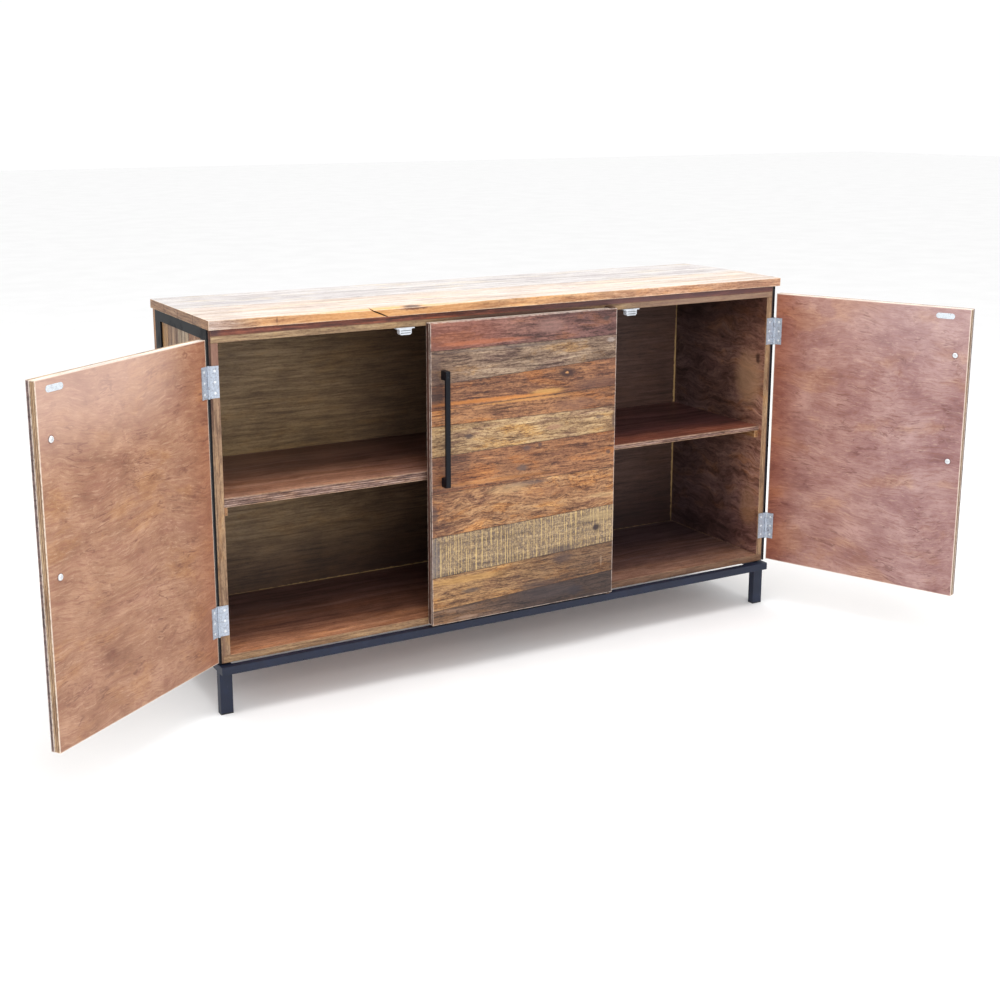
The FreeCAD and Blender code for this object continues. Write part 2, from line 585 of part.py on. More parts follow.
def export_all():
    os.makedirs("parts", exist_ok=True)
    for name, solids in sorted(nodes.items()):
        shape = solids[0] if len(solids) == 1 else Part.makeCompound(solids)
        shape.exportStep("parts/" + name + ".step")
        print(name, len(solids), round(shape.Volume / 1000.0, 1), "cm3")


make_top()
make_spacers()
make_carcass()
make_shelves()
make_sides()
make_base()
make_top_screws()
hardware_screws = make_fixed_hinges() + make_pivots() + make_catches()
nodes["hardware_screws"] = hardware_screws
make_outer_doors()
make_centre_door()
export_all()
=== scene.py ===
import itertools
import json
import math

import bmesh
import bpy
from mathutils import Matrix, Vector, noise


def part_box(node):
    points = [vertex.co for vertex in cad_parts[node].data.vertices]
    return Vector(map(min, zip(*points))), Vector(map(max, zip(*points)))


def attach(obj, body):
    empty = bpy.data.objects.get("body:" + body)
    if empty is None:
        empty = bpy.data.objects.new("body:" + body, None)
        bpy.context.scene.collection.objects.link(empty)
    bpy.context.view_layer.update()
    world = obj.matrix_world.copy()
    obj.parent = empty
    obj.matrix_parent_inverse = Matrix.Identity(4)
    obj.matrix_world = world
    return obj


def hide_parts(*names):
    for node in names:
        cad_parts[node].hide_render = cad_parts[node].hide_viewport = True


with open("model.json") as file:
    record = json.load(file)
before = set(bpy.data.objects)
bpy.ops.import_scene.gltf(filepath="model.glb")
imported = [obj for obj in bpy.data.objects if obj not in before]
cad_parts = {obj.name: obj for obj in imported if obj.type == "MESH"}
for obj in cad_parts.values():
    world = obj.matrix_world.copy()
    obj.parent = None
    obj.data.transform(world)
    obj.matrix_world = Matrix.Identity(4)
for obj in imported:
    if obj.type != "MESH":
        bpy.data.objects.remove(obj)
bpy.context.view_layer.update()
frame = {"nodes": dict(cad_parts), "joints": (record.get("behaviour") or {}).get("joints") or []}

# Sideboard of reclaimed boards and plywood on a dark steel base. Metres, front towards -Y.
# Wooden pieces are rebuilt as boards with worn edges, and screws and strike plates with finer
# shapes. Other metal and plastic keep their CAD shapes, with softened edges. Door pieces are
# built on the closed door, then turned open.

MM = 0.001
JOINTS = {joint["child"]: joint for joint in frame["joints"]}


def mm(*sizes):
    """Sizes in metres, from millimetres."""
    return tuple(size * MM for size in sizes)


# -------- reading the frame
def closed_to_rest(body):
    """Matrix that turns a closed door to the way it stands in the frame."""
    joint = JOINTS.get(body)
    if joint is None:
        return Matrix.Identity(4)
    pin = Vector(joint["pos_m"])
    turn = Matrix.Rotation(math.radians(-joint["range_deg"][0]), 4, Vector(joint["axis"]))
    return Matrix.Translation(pin) @ turn @ Matrix.Translation(-pin)


def closed_points(node, body):
    """A node's corners, with its door closed."""
    back = closed_to_rest(body).inverted()
    return [back @ v.co for v in frame["nodes"][node].data.vertices]


def extent(points):
    """Lowest and highest corner of some points."""
    low = Vector([min(p[i] for p in points) for i in range(3)])
    high = Vector([max(p[i] for p in points) for i in range(3)])
    return low, high


def steps(values, merge=0.2 * MM):
    """Sorted values, with near-equal ones counted once."""
    found = []
    for value in sorted(values):
        if not found or value - found[-1] > merge:
            found.append(value)
    return found


def islands(node, body):
    """The separate solids of a node whose solids don't touch, as lists of closed-door points."""
    mesh = bmesh.new()
    mesh.from_mesh(frame["nodes"][node].data)
    bmesh.ops.remove_doubles(mesh, verts=mesh.verts, dist=0.002 * MM)
    back = closed_to_rest(body).inverted()
    waiting = set(mesh.verts)
    groups = []
    while waiting:
        queue = [min(waiting, key=lambda v: v.index)]
        waiting.discard(queue[0])
        group = []
        while queue:
            vert = queue.pop()
            group.append(back @ vert.co)
            for edge in vert.link_edges:
                other = edge.other_vert(vert)
                if other in waiting:
                    waiting.discard(other)
                    queue.append(other)
        groups.append(group)
    mesh.free()
    return groups


# -------- adding objects
def add_object(name, data):
    """A new object in the scene."""
    piece = bpy.data.objects.new(name, data)
    bpy.context.scene.collection.objects.link(piece)
    return piece


def mesh_data(name, mesh):
    """Mesh data from a bmesh, which is freed."""
    bmesh.ops.recalc_face_normals(mesh, faces=mesh.faces)
    data = bpy.data.meshes.new(name)
    mesh.to_mesh(data)
    mesh.free()
    return data


# -------- shader building
def linear(colour):
    """Linear colour from 0 to 255 display values."""
    return tuple((c / 255) ** 2.2 for c in colour) + (1.0,)


class Shader:
    """A material's node tree, with one short method for each kind of node.

    colour and height are what has been painted so far. cover(), stain() and carve() add to them.
    """

    def __init__(self, name):
        self.material = bpy.data.materials.new(name)
        self.material.use_nodes = True
        self.tree = self.material.node_tree
        self.surface = self.tree.nodes["Principled BSDF"]
        self.place = self.add("ShaderNodeTexCoord").outputs["Object"]
        self.colour = None
        self.height = None

    def add(self, kind, **inputs):
        node = self.tree.nodes.new(kind)
        for key, value in inputs.items():
            self.put(node.inputs[key], value)
        return node

    def put(self, socket, value):
        if isinstance(value, bpy.types.NodeSocket):
            self.tree.links.new(value, socket)
        else:
            socket.default_value = value

    def mapped(self, vector, scale=(1, 1, 1), offset=(0, 0, 0)):
        node = self.add("ShaderNodeMapping", Vector=vector, Scale=scale, Location=offset)
        return node.outputs[0]

    def noise(self, vector, scale, detail=3.0, roughness=0.55, distortion=0.0, output="Fac"):
        node = self.add("ShaderNodeTexNoise", Vector=vector, Scale=scale, Detail=detail,
                        Roughness=roughness, Distortion=distortion)
        return node.outputs[output]

    def maths(self, operation, a, b=0.0, c=0.0, kind="ShaderNodeMath"):
        node = self.add(kind)
        node.operation = operation
        for socket, value in zip(node.inputs, (a, b, c)):
            self.put(socket, value)
        return node.outputs[0]

    def span(self, value, low, high, start=0.0, end=1.0):
        """Maps low..high to start..end smoothly, and holds the ends."""
        node = self.add("ShaderNodeMapRange")
        node.interpolation_type = "SMOOTHSTEP"
        for socket, number in zip(node.inputs, (value, low, high, start, end)):
            self.put(socket, number)
        return node.outputs[0]

    def mix(self, share, a, b, blend="MIX"):
        node = self.add("ShaderNodeMix")
        node.data_type = "RGBA"
        node.blend_type = blend
        for socket, value in zip((node.inputs[0], node.inputs[6], node.inputs[7]), (share, a, b)):
            self.put(socket, value)
        return node.outputs[2]

    def cover(self, mask, tone, share=None, blend="MIX"):
        """Takes the colour towards a display tone where the mask is high, at most by the share."""
        if share is not None:
            mask = self.maths("MULTIPLY", mask, share)
        self.colour = self.mix(mask, self.colour, linear(tone), blend)

    def stain(self, mask, tone, share=None):
        """Multiplies the colour by a display tone where the mask is high, for real stains and for painted
        shade alike.
        """
        self.cover(mask, tone, share, "MULTIPLY")

    def carve(self, mask, amount):
        """Adds to the height where the mask is high."""
        self.height = self.maths("MULTIPLY_ADD", mask, amount, self.height)

    def ramp(self, value, colours, marks):
        node = self.add("ShaderNodeValToRGB", Fac=value)
        elements = node.color_ramp.elements
        while len(elements) < len(colours):
            elements.new(0.5)
        for element, colour, mark in zip(elements, colours, marks):
            element.position = mark
            element.color = linear(colour)
        return node.outputs[0]

    def axis(self, vector, name):
        return self.add("ShaderNodeSeparateXYZ", Vector=vector).outputs[name]

    def warped(self, vector, scale, amount, detail=2.0):
        """The vector, pushed about by slow noise, so that straight grain curls."""
        push = self.noise(vector, scale, detail, output="Color")
        centred = self.maths("SUBTRACT", push, (0.5,) * 3, (0.0,) * 3, "ShaderNodeVectorMath")
        return self.maths("MULTIPLY_ADD", centred, (amount,) * 3, vector, "ShaderNodeVectorMath")

    def spot(self, vector, centre, size, soft=0.5):
        """1 inside an ellipsoid, fading to 0 at its rim."""
        scale = tuple(1 / s for s in size)
        offset = tuple(-c / s for c, s in zip(centre, size))
        length = self.add("ShaderNodeVectorMath")
        length.operation = "LENGTH"
        self.put(length.inputs[0], self.mapped(vector, scale, offset))
        return self.span(length.outputs["Value"], 1.0 - soft, 1.0, 1.0, 0.0)

    def attribute(self, name):
        node = self.add("ShaderNodeAttribute")
        node.attribute_name = name
        return node.outputs["Fac"]

    def finish(self, roughness, distance, strength=0.5):
        """Joins colour, roughness and relief to the surface, and gives the material."""
        bump = self.add("ShaderNodeBump", Height=self.height, Distance=distance, Strength=strength)
        self.put(self.surface.inputs["Base Color"], self.colour)
        self.put(self.surface.inputs["Roughness"], roughness)
        self.put(self.surface.inputs["Normal"], bump.outputs[0])
        return self.material


# -------- wood
RAMP_MARKS = (0.29, 0.43, 0.57, 0.71)


def wood(name, tones, grain="X", seed=0.0, curl=0.012, curl_scale=5.0, ring_scale=70.0, fibre=0.5,
         mottle=0.4, patch=0.3, patch_tone=(120, 98, 88), wear_tone=(196, 160, 118), wear=0.5,
         grime=0.8, rough=(0.42, 0.62), relief=0.35, spots=(), fades=(), layers=None, sawn=False,
         specks=0.0, drift=0.3, streak_scale=230.0):
    """Sawn wood. tones run from dark to light, as display values.

    spots are (centre, size, colour, share). fades are (axis, from, to, colour), with a share where
    it isn't full: the colour comes in along that axis. layers is (axis, start, thickness of a ply).
    drift is how far the hue wanders between golden and purple along the board.
    """
    s = Shader(name)
    place = s.mapped(s.place, offset=(seed, seed * 1.7, seed * 0.6))
    bent = s.warped(place, curl_scale, curl)

    def grained(share, scale, *detail):
        """Noise that is drawn out along the grain."""
        stretch = tuple(share if axis == grain else 1.0 for axis in "XYZ")
        return s.noise(s.mapped(bent, stretch), scale, *detail)

    rings = grained(0.05, ring_scale, 6.0, 0.66, 0.6)
    s.colour = s.ramp(rings, tones, RAMP_MARKS)
    patches = s.span(s.noise(place, 9.0, 4.0, 0.6), 0.42, 0.66)
    s.stain(patches, patch_tone, patch)
    hue = grained(0.28, 27.0, 5.0, 0.66, 0.4)
    s.stain(s.span(hue, 0.51, 0.64, 0.0, drift), (284, 262, 204))
    s.stain(s.span(hue, 0.49, 0.36, 0.0, drift), (196, 180, 192))
    streaks = grained(0.085, streak_scale, 5.0, 0.74, 0.3)
    dark = s.span(streaks, 0.50, 0.61)
    s.stain(dark, (134, 102, 88), fibre)
    s.cover(s.span(streaks, 0.47, 0.36, 0.0, fibre * 0.6), tones[-1])
    grit = grained(0.35, 1.5 * streak_scale, 4.0, 0.75)
    s.stain(s.span(grit, 0.50, 0.64, 0.0, mottle), (128, 100, 92))
    s.cover(s.span(grit, 0.44, 0.32, 0.0, mottle * 0.6), tones[-1])
    s.height = rings
    s.carve(dark, -0.6)
    if fades:
        wavy = s.warped(s.place, 9.0, 0.05)
        for axis, start, end, tint, *share in fades:
            amount = s.span(s.axis(wavy, axis), start, end, 0.0, *share)
            s.stain(amount, tint)
    if specks:
        flecks = s.span(grained(0.35, 130.0, 5.0, 0.75), 0.57, 0.68)
        s.cover(flecks, (62, 44, 40), specks)
        s.carve(flecks, -0.5)
    if sawn:
        saw_marks(s, place)
    if spots:
        ragged = s.warped(s.place, 95.0, 0.008, 4.0)
        for centre, size, tint, share in spots:
            mask = s.spot(ragged, centre, size, 0.65)
            s.cover(mask, tint, share)
            s.carve(mask, -share)
    if layers:
        axis, start, thickness = layers
        along = s.axis(s.warped(s.place, 14.0, 0.0012), axis)
        count = s.maths("DIVIDE", s.maths("SUBTRACT", along, start), thickness)
        saw = s.maths("PINGPONG", count, 1.0)
        dark_ply = s.span(saw, 0.35, 0.65)
        glue = s.span(s.maths("ABSOLUTE", s.maths("SUBTRACT", saw, 0.5)), 0.10, 0.0)
        s.stain(dark_ply, (120, 84, 70), 0.65)
        s.cover(glue, (66, 44, 40), 0.6)
    rub = s.noise(place, 90.0, 3.0)
    bare = s.maths("MULTIPLY", s.span(rub, 0.36, 0.58, 0.35, 1.0), s.attribute("wear"))
    s.cover(bare, wear_tone, wear)
    dirt = s.maths("MULTIPLY", s.span(rub, 0.62, 0.40, 0.45, 1.0), s.attribute("grime"))
    s.cover(dirt, (44, 28, 26), grime)
    return s.finish(s.span(rings, 0.3, 0.7, rough[1], rough[0]), 0.5 * MM, relief)


def saw_marks(s, place):
    """A rough-sawn face: unevenly spaced pale ridges across a plank speckled with dirt."""
    across = s.axis(s.warped(s.place, 3.0, 0.003), "X")
    ridges = s.add("ShaderNodeTexVoronoi", Scale=120.0)
    ridges.voronoi_dimensions = "1D"
    s.put(ridges.inputs["W"], across)
    line = s.span(ridges.outputs["Distance"], 0.13, 0.03)
    broken = s.span(s.noise(s.mapped(place, (1, 1, 0.3)), 70.0, 4.0, 0.7), 0.40, 0.58, 0.1, 1.0)
    speckle = s.noise(s.mapped(place, (1, 1, 0.6)), 210.0, 5.0, 0.8)
    s.cover(s.span(speckle, 0.48, 0.60, 0.0, 0.78), (84, 72, 74))
    s.cover(s.span(speckle, 0.45, 0.34, 0.0, 0.45), (226, 196, 142))
    ridge = s.maths("MULTIPLY", line, broken)
    s.cover(ridge, (226, 192, 126), 0.75)
    s.carve(ridge, 0.8)


def painted_steel(name, colour, rough, chips=0.25, shine=0.5):
    """Dark paint with a slight orange peel, rubbed paler in places."""
    s = Shader(name)
    dust = s.span(s.noise(s.place, 18.0, 5.0, 0.65), 0.45, 0.75)
    pale = tuple(min(255, c * 1.5 + 10) for c in colour)
    s.colour, s.height = linear(colour), s.noise(s.place, 900.0, 2.0)
    s.cover(dust, pale, chips)
    scratch = s.span(s.noise(s.mapped(s.place, (1, 1, 0.15)), 240.0, 4.0, 0.7), 0.64, 0.74)
    s.cover(scratch, (104, 110, 124), 0.3)
    s.surface.inputs["Specular IOR Level"].default_value = shine
    return s.finish(s.span(dust, 0.0, 1.0, rough, rough + 0.15), 0.06 * MM)


def zinc_plate(name, colour=(184, 194, 208), rough=0.42, stains=0.75, metallic=0.45):
    """Zinc-plated sheet steel with a faint spangle and stains."""
    s = Shader(name)
    spangle = s.noise(s.place, 420.0, 3.0, 0.7)
    stain = s.span(s.noise(s.place, 190.0, 4.0, 0.75), 0.50, 0.66)
    dull = tuple(c * 0.74 for c in colour)
    s.colour, s.height = linear(colour), spangle
    s.cover(s.span(spangle, 0.35, 0.65, 0.0, 0.5), dull)
    s.cover(stain, (118, 112, 120), stains)
    s.surface.inputs["Metallic"].default_value = metallic
    return s.finish(s.span(spangle, 0.3, 0.7, rough - 0.08, rough + 0.14), 0.05 * MM)


def moulded_plastic(name, colour, rough):
    """Moulded plastic with a fine spark-eroded texture and slight yellowing."""
    s = Shader(name)
    texture = s.noise(s.place, 1500.0, 2.0)
    shade = s.noise(s.place, 60.0, 2.0)
    aged = tuple(c * 0.88 for c in colour)
    s.colour, s.height = linear(colour), texture
    s.cover(s.span(shade, 0.4, 0.7), aged)
    return s.finish(s.span(texture, 0.3, 0.7, rough, rough + 0.12), 0.03 * MM, 0.4)


# -------- board building
WEAR_BAND = 2.6 * MM


def lattice(length, radius, spacing):
    """Places along one side of a board, close together at its rounded ends."""
    start = min(max(1.6 * radius, WEAR_BAND), 0.4 * length)
    inner = length - 2 * start
    count = max(1, round(inner / spacing))
    middle = [start + inner * i / count for i in range(count + 1)]
    ends = [0.0, 0.35 * radius, radius]
    return ends + middle + [length - e for e in reversed(ends)]


def edge_marks(point, low, high, joints):
    """How strongly a surface point is worn and how dirty, from its distance to an edge."""
    sides = []
    for i in range(3):
        near, far = point[i] - low[i], high[i] - point[i]
        sides.append((min(near, far), "xyz"[i] + ("-" if near < far else "+")))
    sides.sort()
    strength = max(0.0, 1.0 - sides[1][0] / WEAR_BAND)
    at_joint = sides[0][1] in joints or sides[1][1] in joints
    return (0.0, strength) if at_joint else (strength, 0.0)


def board(name, low, high, radius=1.0 * MM, spacing=mm(30, 30, 30), worn=0.6, dent=None,
          shape=None, sides=None, seed=0.0, joints=()):
    """A box mesh with edges worn to an uneven radius.

    dent(point, normal) gives how far a point is pushed in. shape(point) moves points last.
    sides maps "x-", "x+" and so on to material slots. joints names the sides that meet a neighbour:
    their edges are dirty instead of rubbed.
    """
    low, high = Vector(low), Vector(high)
    marks = [lattice(high[i] - low[i], radius, spacing[i]) for i in range(3)]
    last = [len(m) - 1 for m in marks]
    mesh = bmesh.new()
    wear = mesh.verts.layers.float.new("wear")
    grime = mesh.verts.layers.float.new("grime")
    grid = {}
    for key in itertools.product(*[range(len(m)) for m in marks]):
        if not any(k in (0, end) for k, end in zip(key, last)):
            continue
        point = low + Vector([m[k] for m, k in zip(marks, key)])
        chip = 0.5 + 0.5 * noise.noise(point * 28.0 + Vector((seed, 3.1, seed * 0.7)))
        local = radius * (1.0 - worn * chip)
        core = Vector([min(max(point[i], low[i] + local), high[i] - local) for i in range(3)])
        normal = (point - core).normalized()
        place = core + normal * local
        if dent:
            place -= normal * dent(place, normal)
        vert = mesh.verts.new(shape(place) if shape else place)
        vert[wear], vert[grime] = edge_marks(point, low, high, joints)
        grid[key] = vert
    for axis, at_end in itertools.product(range(3), (False, True)):
        u, v = [i for i in range(3) if i != axis]
        side = "xyz"[axis] + ("+" if at_end else "-")
        fixed = last[axis] if at_end else 0
        for i, j in itertools.product(range(last[u]), range(last[v])):
            corners = []
            for du, dv in ((0, 0), (1, 0), (1, 1), (0, 1)):
                key = [0, 0, 0]
                key[axis], key[u], key[v] = fixed, i + du, j + dv
                corners.append(grid[tuple(key)])
            face = mesh.faces.new(corners)
            face.smooth = True
            face.material_index = (sides or {}).get(side, 0)
    return add_object(name, mesh_data(name, mesh))


def fit(piece, body, slot, nodes, *materials):
    """Finishes a piece: its materials, its body and the nodes it stands for; the slot argument is not used.
    """
    for material in materials:
        piece.data.materials.append(material)
    piece.matrix_world = closed_to_rest(body)
    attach(piece, body)
    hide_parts(*nodes)
    return piece


def rough_face(seed, depth=0.25 * MM, scale=22.0):
    """Dents for a hand-worn face."""
    def dent(point, normal):
        return depth * (0.5 + 0.5 * noise.noise(point * scale + Vector((seed, seed * 2.0, 1.0))))
    return dent


def ply_ridges(axis, start, thickness, depth=0.18 * MM):
    """Dents that set every second ply back where the edge of a sheet shows."""
    def dent(point, normal):
        if abs(normal[axis]) > 0.5:
            return 0.0
        ply = int((point[axis] - start) / thickness)
        return depth if ply % 2 else 0.0
    return dent


def soften(node, width, segments=2):
    """Rounds the sharp edges of a CAD node with a bevel modifier."""
    modifier = frame["nodes"][node].modifiers.new("Softened edges", "BEVEL")
    modifier.width = width
    modifier.segments = segments
    modifier.limit_method = "ANGLE"
    modifier.angle_limit = math.radians(40)
    modifier.harden_normals = True


def dress(node, material, width=None):
    """Gives a CAD node a material, and softened edges if a width is given."""
    data = frame["nodes"][node].data
    data.materials.clear()
    data.materials.append(material)
    if width:
        soften(node, width)


# -------- top
# CREAM and GREYISH, the top's face tones, are partly the boards' own pale weathered colour and partly a
# painted reflection of the white surroundings.
CREAM = ((146, 120, 102), (198, 180, 164), (214, 200, 188), (226, 214, 205))
GREYISH = ((134, 128, 128), (182, 176, 174), (202, 197, 194), (216, 212, 210))
EDGE_ORANGE = ((138, 86, 52), (186, 136, 92), (212, 164, 116), (236, 198, 152))
END_BROWN = ((84, 56, 38), (132, 94, 64), (160, 120, 86), (190, 152, 114))
RUBBED_MIDDLE = -370 * MM       # stretch of the front edge that is rubbed down to orange wood
RUBBED_HALF = 270 * MM
RUBBED_WIDTH = 24 * MM
RUBBED_DEPTH = 4 * MM
SCARF_OPENING = 1.6 * MM        # how far each side of the slanting joint stands back at the front
SCARF_OPEN_DEPTH = 30 * MM
TOP_TONES = {"front": CREAM, "second": CREAM, "third": GREYISH, "back": GREYISH}
TOP_SEEDS = {"front": 1.3, "second": 2.9, "third": 5.1, "back": 8.3}
# The top's boards and the sides where each meets its neighbours
TOP_JOINTS = {"front_left": ("x+", "y+"), "front_right": ("x-", "y+"), "second": ("y-", "y+"),
              "third": ("y-", "y+"), "back": ("y-",)}


def top_shape(low, high, points):
    """Moves a straight board's points to its slanting joints and to the top's curved end."""
    left = [p.y for p in points if p.x < low.x + 1 * MM]
    right = [p for p in points if p.x > -low.x - 1 * MM]
    near = (min(left), min(p.y for p in right) if right else min(left))
    far = (max(left), max(p.y for p in right) if right else max(left))
    half_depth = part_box("top_board_back")[1].y
    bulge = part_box("top_board_third")[1].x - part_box("base_front_rail")[1].x

    def shape(p):
        along = (p.x - low.x) / (high.x - low.x)
        across = (p.y - low.y) / (high.y - low.y)
        y0 = near[0] + (near[1] - near[0]) * along
        y1 = far[0] + (far[1] - far[0]) * along
        y = y0 + (y1 - y0) * across
        room = bulge * (1 - (y / half_depth) ** 2) * max(0.0, along) ** 8
        stretch = max(0.0, 1.0 - ((p.x - RUBBED_MIDDLE) / RUBBED_HALF) ** 2)
        nearness = max(0.0, 1.0 - (y + half_depth) / RUBBED_WIDTH)
        lowered = RUBBED_DEPTH * stretch * nearness * (p.z - low.z) / (high.z - low.z)
        return Vector((p.x + room, y, p.z - lowered))
    return shape


def scarf_shape(low, high, points, slant_right, slant_left):
    """Slanting ends for the two lengths of the front board."""
    base = top_shape(low, high, points)

    def shape(p):
        up = (p.z - low.z) / (high.z - low.z)
        along = (p.x - low.x) / (high.x - low.x)
        moved = base(p)
        moved.x += slant_right * (1 - up) * along + slant_left * (1 - up) * (1 - along)
        opening = SCARF_OPENING * max(0.0, 1 - (p.y - low.y) / SCARF_OPEN_DEPTH)
        bow = 1 + 1.2 * math.sin(math.pi * up)
        at_joint = -along ** 60 if slant_right else (1 - along) ** 60
        moved.x += opening * bow * at_joint
        return moved
    return shape


def front_edge_wood(front, surface):
    """Orange wood of the top's front edge, rubbed in the middle and bleached at its left end."""
    def mark(x, below, long, tall, colour, share, deep=0.02):
        return ((x, front, surface - below), (long, deep, tall), colour, share)

    return wood("top_front_edge", EDGE_ORANGE, seed=4.2, curl=0.02, ring_scale=85, rough=(0.35, 0.5),
                wear_tone=(238, 214, 186), wear=0.7, drift=0.45,
                fades=(("X", -0.66, -0.79, (250, 290, 372)), ("X", 0.05, 0.40, (250, 252, 284))),
                spots=(mark(-0.36, 0.011, 0.34, 0.05, (194, 134, 76), 0.55, 0.05),
                       mark(-0.30, 0.005, 0.06, 0.007, (84, 42, 34), 0.85),
                       mark(-0.06, 0.014, 0.16, 0.004, (150, 100, 62), 0.4),
                       mark(0.30, 0.005, 0.10, 0.004, (160, 112, 78), 0.4),
                       mark(-0.641, 0.011, 0.004, 0.009, (104, 66, 44), 0.7)))


def top_face_woods(front, surface):
    """The upper faces of the top's boards, with their knots."""
    def mark(x, y, long, wide, colour, share, below=0.0, deep=0.01):
        return ((x, y, surface - below), (long, wide, deep), colour, share)

    knots = {
        "front": (
            mark(RUBBED_MIDDLE, front, 0.29, 0.026, (218, 156, 84), 0.9, 0.002, 0.02),
            mark(-0.303, -0.206, 0.036, 0.018, (66, 36, 34), 0.9, 0.002, 0.02),
            mark(-0.745, -0.165, 0.035, 0.010, (168, 144, 120), 0.5),
            mark(-0.18, -0.150, 0.09, 0.006, (186, 160, 136), 0.5)),
        "second": (
            mark(0.02, -0.085, 0.03, 0.010, (190, 172, 154), 0.5),
            mark(0.62, -0.030, 0.06, 0.007, (150, 132, 120), 0.6)),
        "third": (
            mark(-0.62, 0.045, 0.15, 0.022, (150, 142, 146), 0.55),
            mark(-0.345, -0.003, 0.018, 0.012, (132, 124, 124), 0.6),
            mark(0.46, -0.020, 0.09, 0.008, (136, 128, 126), 0.55),
            mark(-0.65, 0.098, 0.05, 0.006, (128, 122, 124), 0.6)),
        "back": (
            mark(-0.58, 0.150, 0.20, 0.030, (160, 150, 150), 0.5),
            mark(-0.34, 0.110, 0.08, 0.007, (132, 126, 126), 0.5),
            mark(0.30, 0.150, 0.05, 0.010, (150, 142, 138), 0.4)),
    }
    return {key: wood("top_face_" + key, TOP_TONES[key], seed=TOP_SEEDS[key], curl=0.02, ring_scale=60,
                      fibre=0.3, mottle=0.25, patch=0.12, patch_tone=(176, 164, 156), rough=(0.3, 0.5),
                      relief=0.3, wear_tone=(240, 228, 212), spots=knots[key], grime=0.45)
            for key in knots}


def make_top():
    end_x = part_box("base_front_rail")[1].x
    scarf_top = min(v.co.x for v in frame["nodes"]["top_board_front_right"].data.vertices)
    corner, far_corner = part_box("top_board_front_left")
    slant = far_corner.x - scarf_top
    orange = front_edge_wood(corner.y, far_corner.z)
    end_grain = wood("top_end_grain", END_BROWN, grain="Y", seed=7.7, ring_scale=130)
    faces = top_face_woods(corner.y, far_corner.z)
    for node, joints in TOP_JOINTS.items():
        name = "top_board_" + node
        points = [v.co.copy() for v in frame["nodes"][name].data.vertices]
        low, high = extent(points)
        key = node.split("_")[0]
        seed = TOP_SEEDS[key]
        high.x = min(high.x, end_x)
        shape = top_shape(low, high, points)
        if node == "front_left":
            high.x = scarf_top
            shape = scarf_shape(low, high, points, slant, 0.0)
        if node == "front_right":
            low.x = scarf_top
            shape = scarf_shape(low, high, front_right_points(points, low.x), 0.0, slant)
        piece = board("visual_" + name, low, high, 2.2 * MM, mm(16, 18, 8), 0.65,
                      rough_face(seed, 0.5 * MM, 14.0), shape,
                      {"x-": 1, "x+": 1, "y-": 2, "y+": 2}, seed, joints)
        fit(piece, "cabinet", "top_wood", [name], faces[key], end_grain, orange)


def front_right_points(points, left):
    """Stand-in corners for the right-hand length, whose own left end is the slanting joint."""
    near = min(p.y for p in points)
    joint = [p for p in points if p.y > near + 10 * MM]
    far_left = max(p.y for p in joint)
    return [Vector((left, near, 0)), Vector((left, far_left, 0))] + points


# -------- carcass
# CEILING_BROWN is a darker copy of the floor's plywood: painted shade on the bays' ceilings.
CEILING_BROWN = ((58, 36, 28), (104, 68, 52), (134, 92, 72), (160, 114, 92))
FLOOR_BROWN = ((120, 76, 56), (172, 116, 86), (200, 140, 106), (224, 168, 132))
UPRIGHT_BROWN = ((92, 60, 50), (138, 96, 80), (164, 120, 102), (192, 148, 128))
OLIVE = ((92, 72, 50), (124, 100, 68), (144, 119, 83), (164, 138, 100))
LIPPING = ((112, 86, 64), (152, 124, 92), (172, 144, 108), (196, 170, 134))
UPRIGHT_LIPPING = ((104, 74, 56), (146, 116, 88), (164, 134, 102), (190, 160, 126))
RAIL = ((44, 20, 18), (90, 48, 38), (124, 66, 48), (164, 98, 74))
SHELF_EDGE = ((92, 64, 58), (141, 111, 99), (173, 143, 129), (203, 178, 163))
CLEAT = ((92, 58, 34), (142, 98, 62), (172, 126, 84), (200, 156, 110))
# Near-black tones for the right side cladding's front edge: painted shade, where the left side's edge is
# lit brown.
SHADED_EDGE_TONES = ((18, 16, 20), (28, 25, 30), (34, 30, 36), (46, 40, 46))
DARK_WEAR = (118, 92, 74)
SPACER_WIDTH = 40 * MM
CLEAT_WIDTH = 12 * MM


def cabinet_board(node, radius, spacing, dent, slot, *materials, worn=0.6):
    """A board in the place of a CAD box of the cabinet. A second material is for its front edge."""
    low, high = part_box(node)
    sides = {"y-": 1} if len(materials) > 1 else None
    piece = board("visual_" + node, low, high, radius, spacing, worn, dent, sides=sides)
    fit(piece, "cabinet", slot, [node], *materials)


def make_ceiling_and_floor(front):
    # The ceiling lipping's dark patches in the middle and on the right are painted shade under the top's
    # overhang, behind the centre door's top.
    upper = wood("ceiling_lipping", LIPPING, seed=3.3, ring_scale=120, wear_tone=DARK_WEAR,
                 spots=(((0.0, front, 0.877), (0.30, 0.02, 0.05), (78, 52, 46), 0.9),
                        ((0.60, front, 0.877), (0.36, 0.02, 0.05), (138, 110, 100), 0.6)))
    lower = wood("floor_lipping", LIPPING, seed=8.3, ring_scale=120, wear_tone=DARK_WEAR,
                 fades=(("X", -0.9, -0.7, (238, 224, 214)), ("X", 0.0, 0.25, (178, 164, 168), 0.95)))
    # The ceiling's darker tones are painted shade.
    ceiling = wood("ceiling_face", CEILING_BROWN, seed=1.1, curl=0.03, ring_scale=38, rough=(0.35, 0.55))
    # The floor's fades: darker towards the back, painted shade; darker and bluer in the right bay.
    floor = wood("floor_face", FLOOR_BROWN, seed=1.9, curl=0.03, ring_scale=38, rough=(0.35, 0.55),
                 fades=(("Y", -0.175, -0.06, (176, 174, 190)), ("Y", -0.04, 0.10, (180, 182, 206)),
                        ("X", 0.10, 0.30, (216, 234, 262))))
    for node, face, lip in (("top_panel", ceiling, upper), ("bottom_panel", floor, lower)):
        cabinet_board(node, 0.8 * MM, mm(25, 40, 6), rough_face(1.0, 0.15 * MM), "carcass_ply", face, lip)


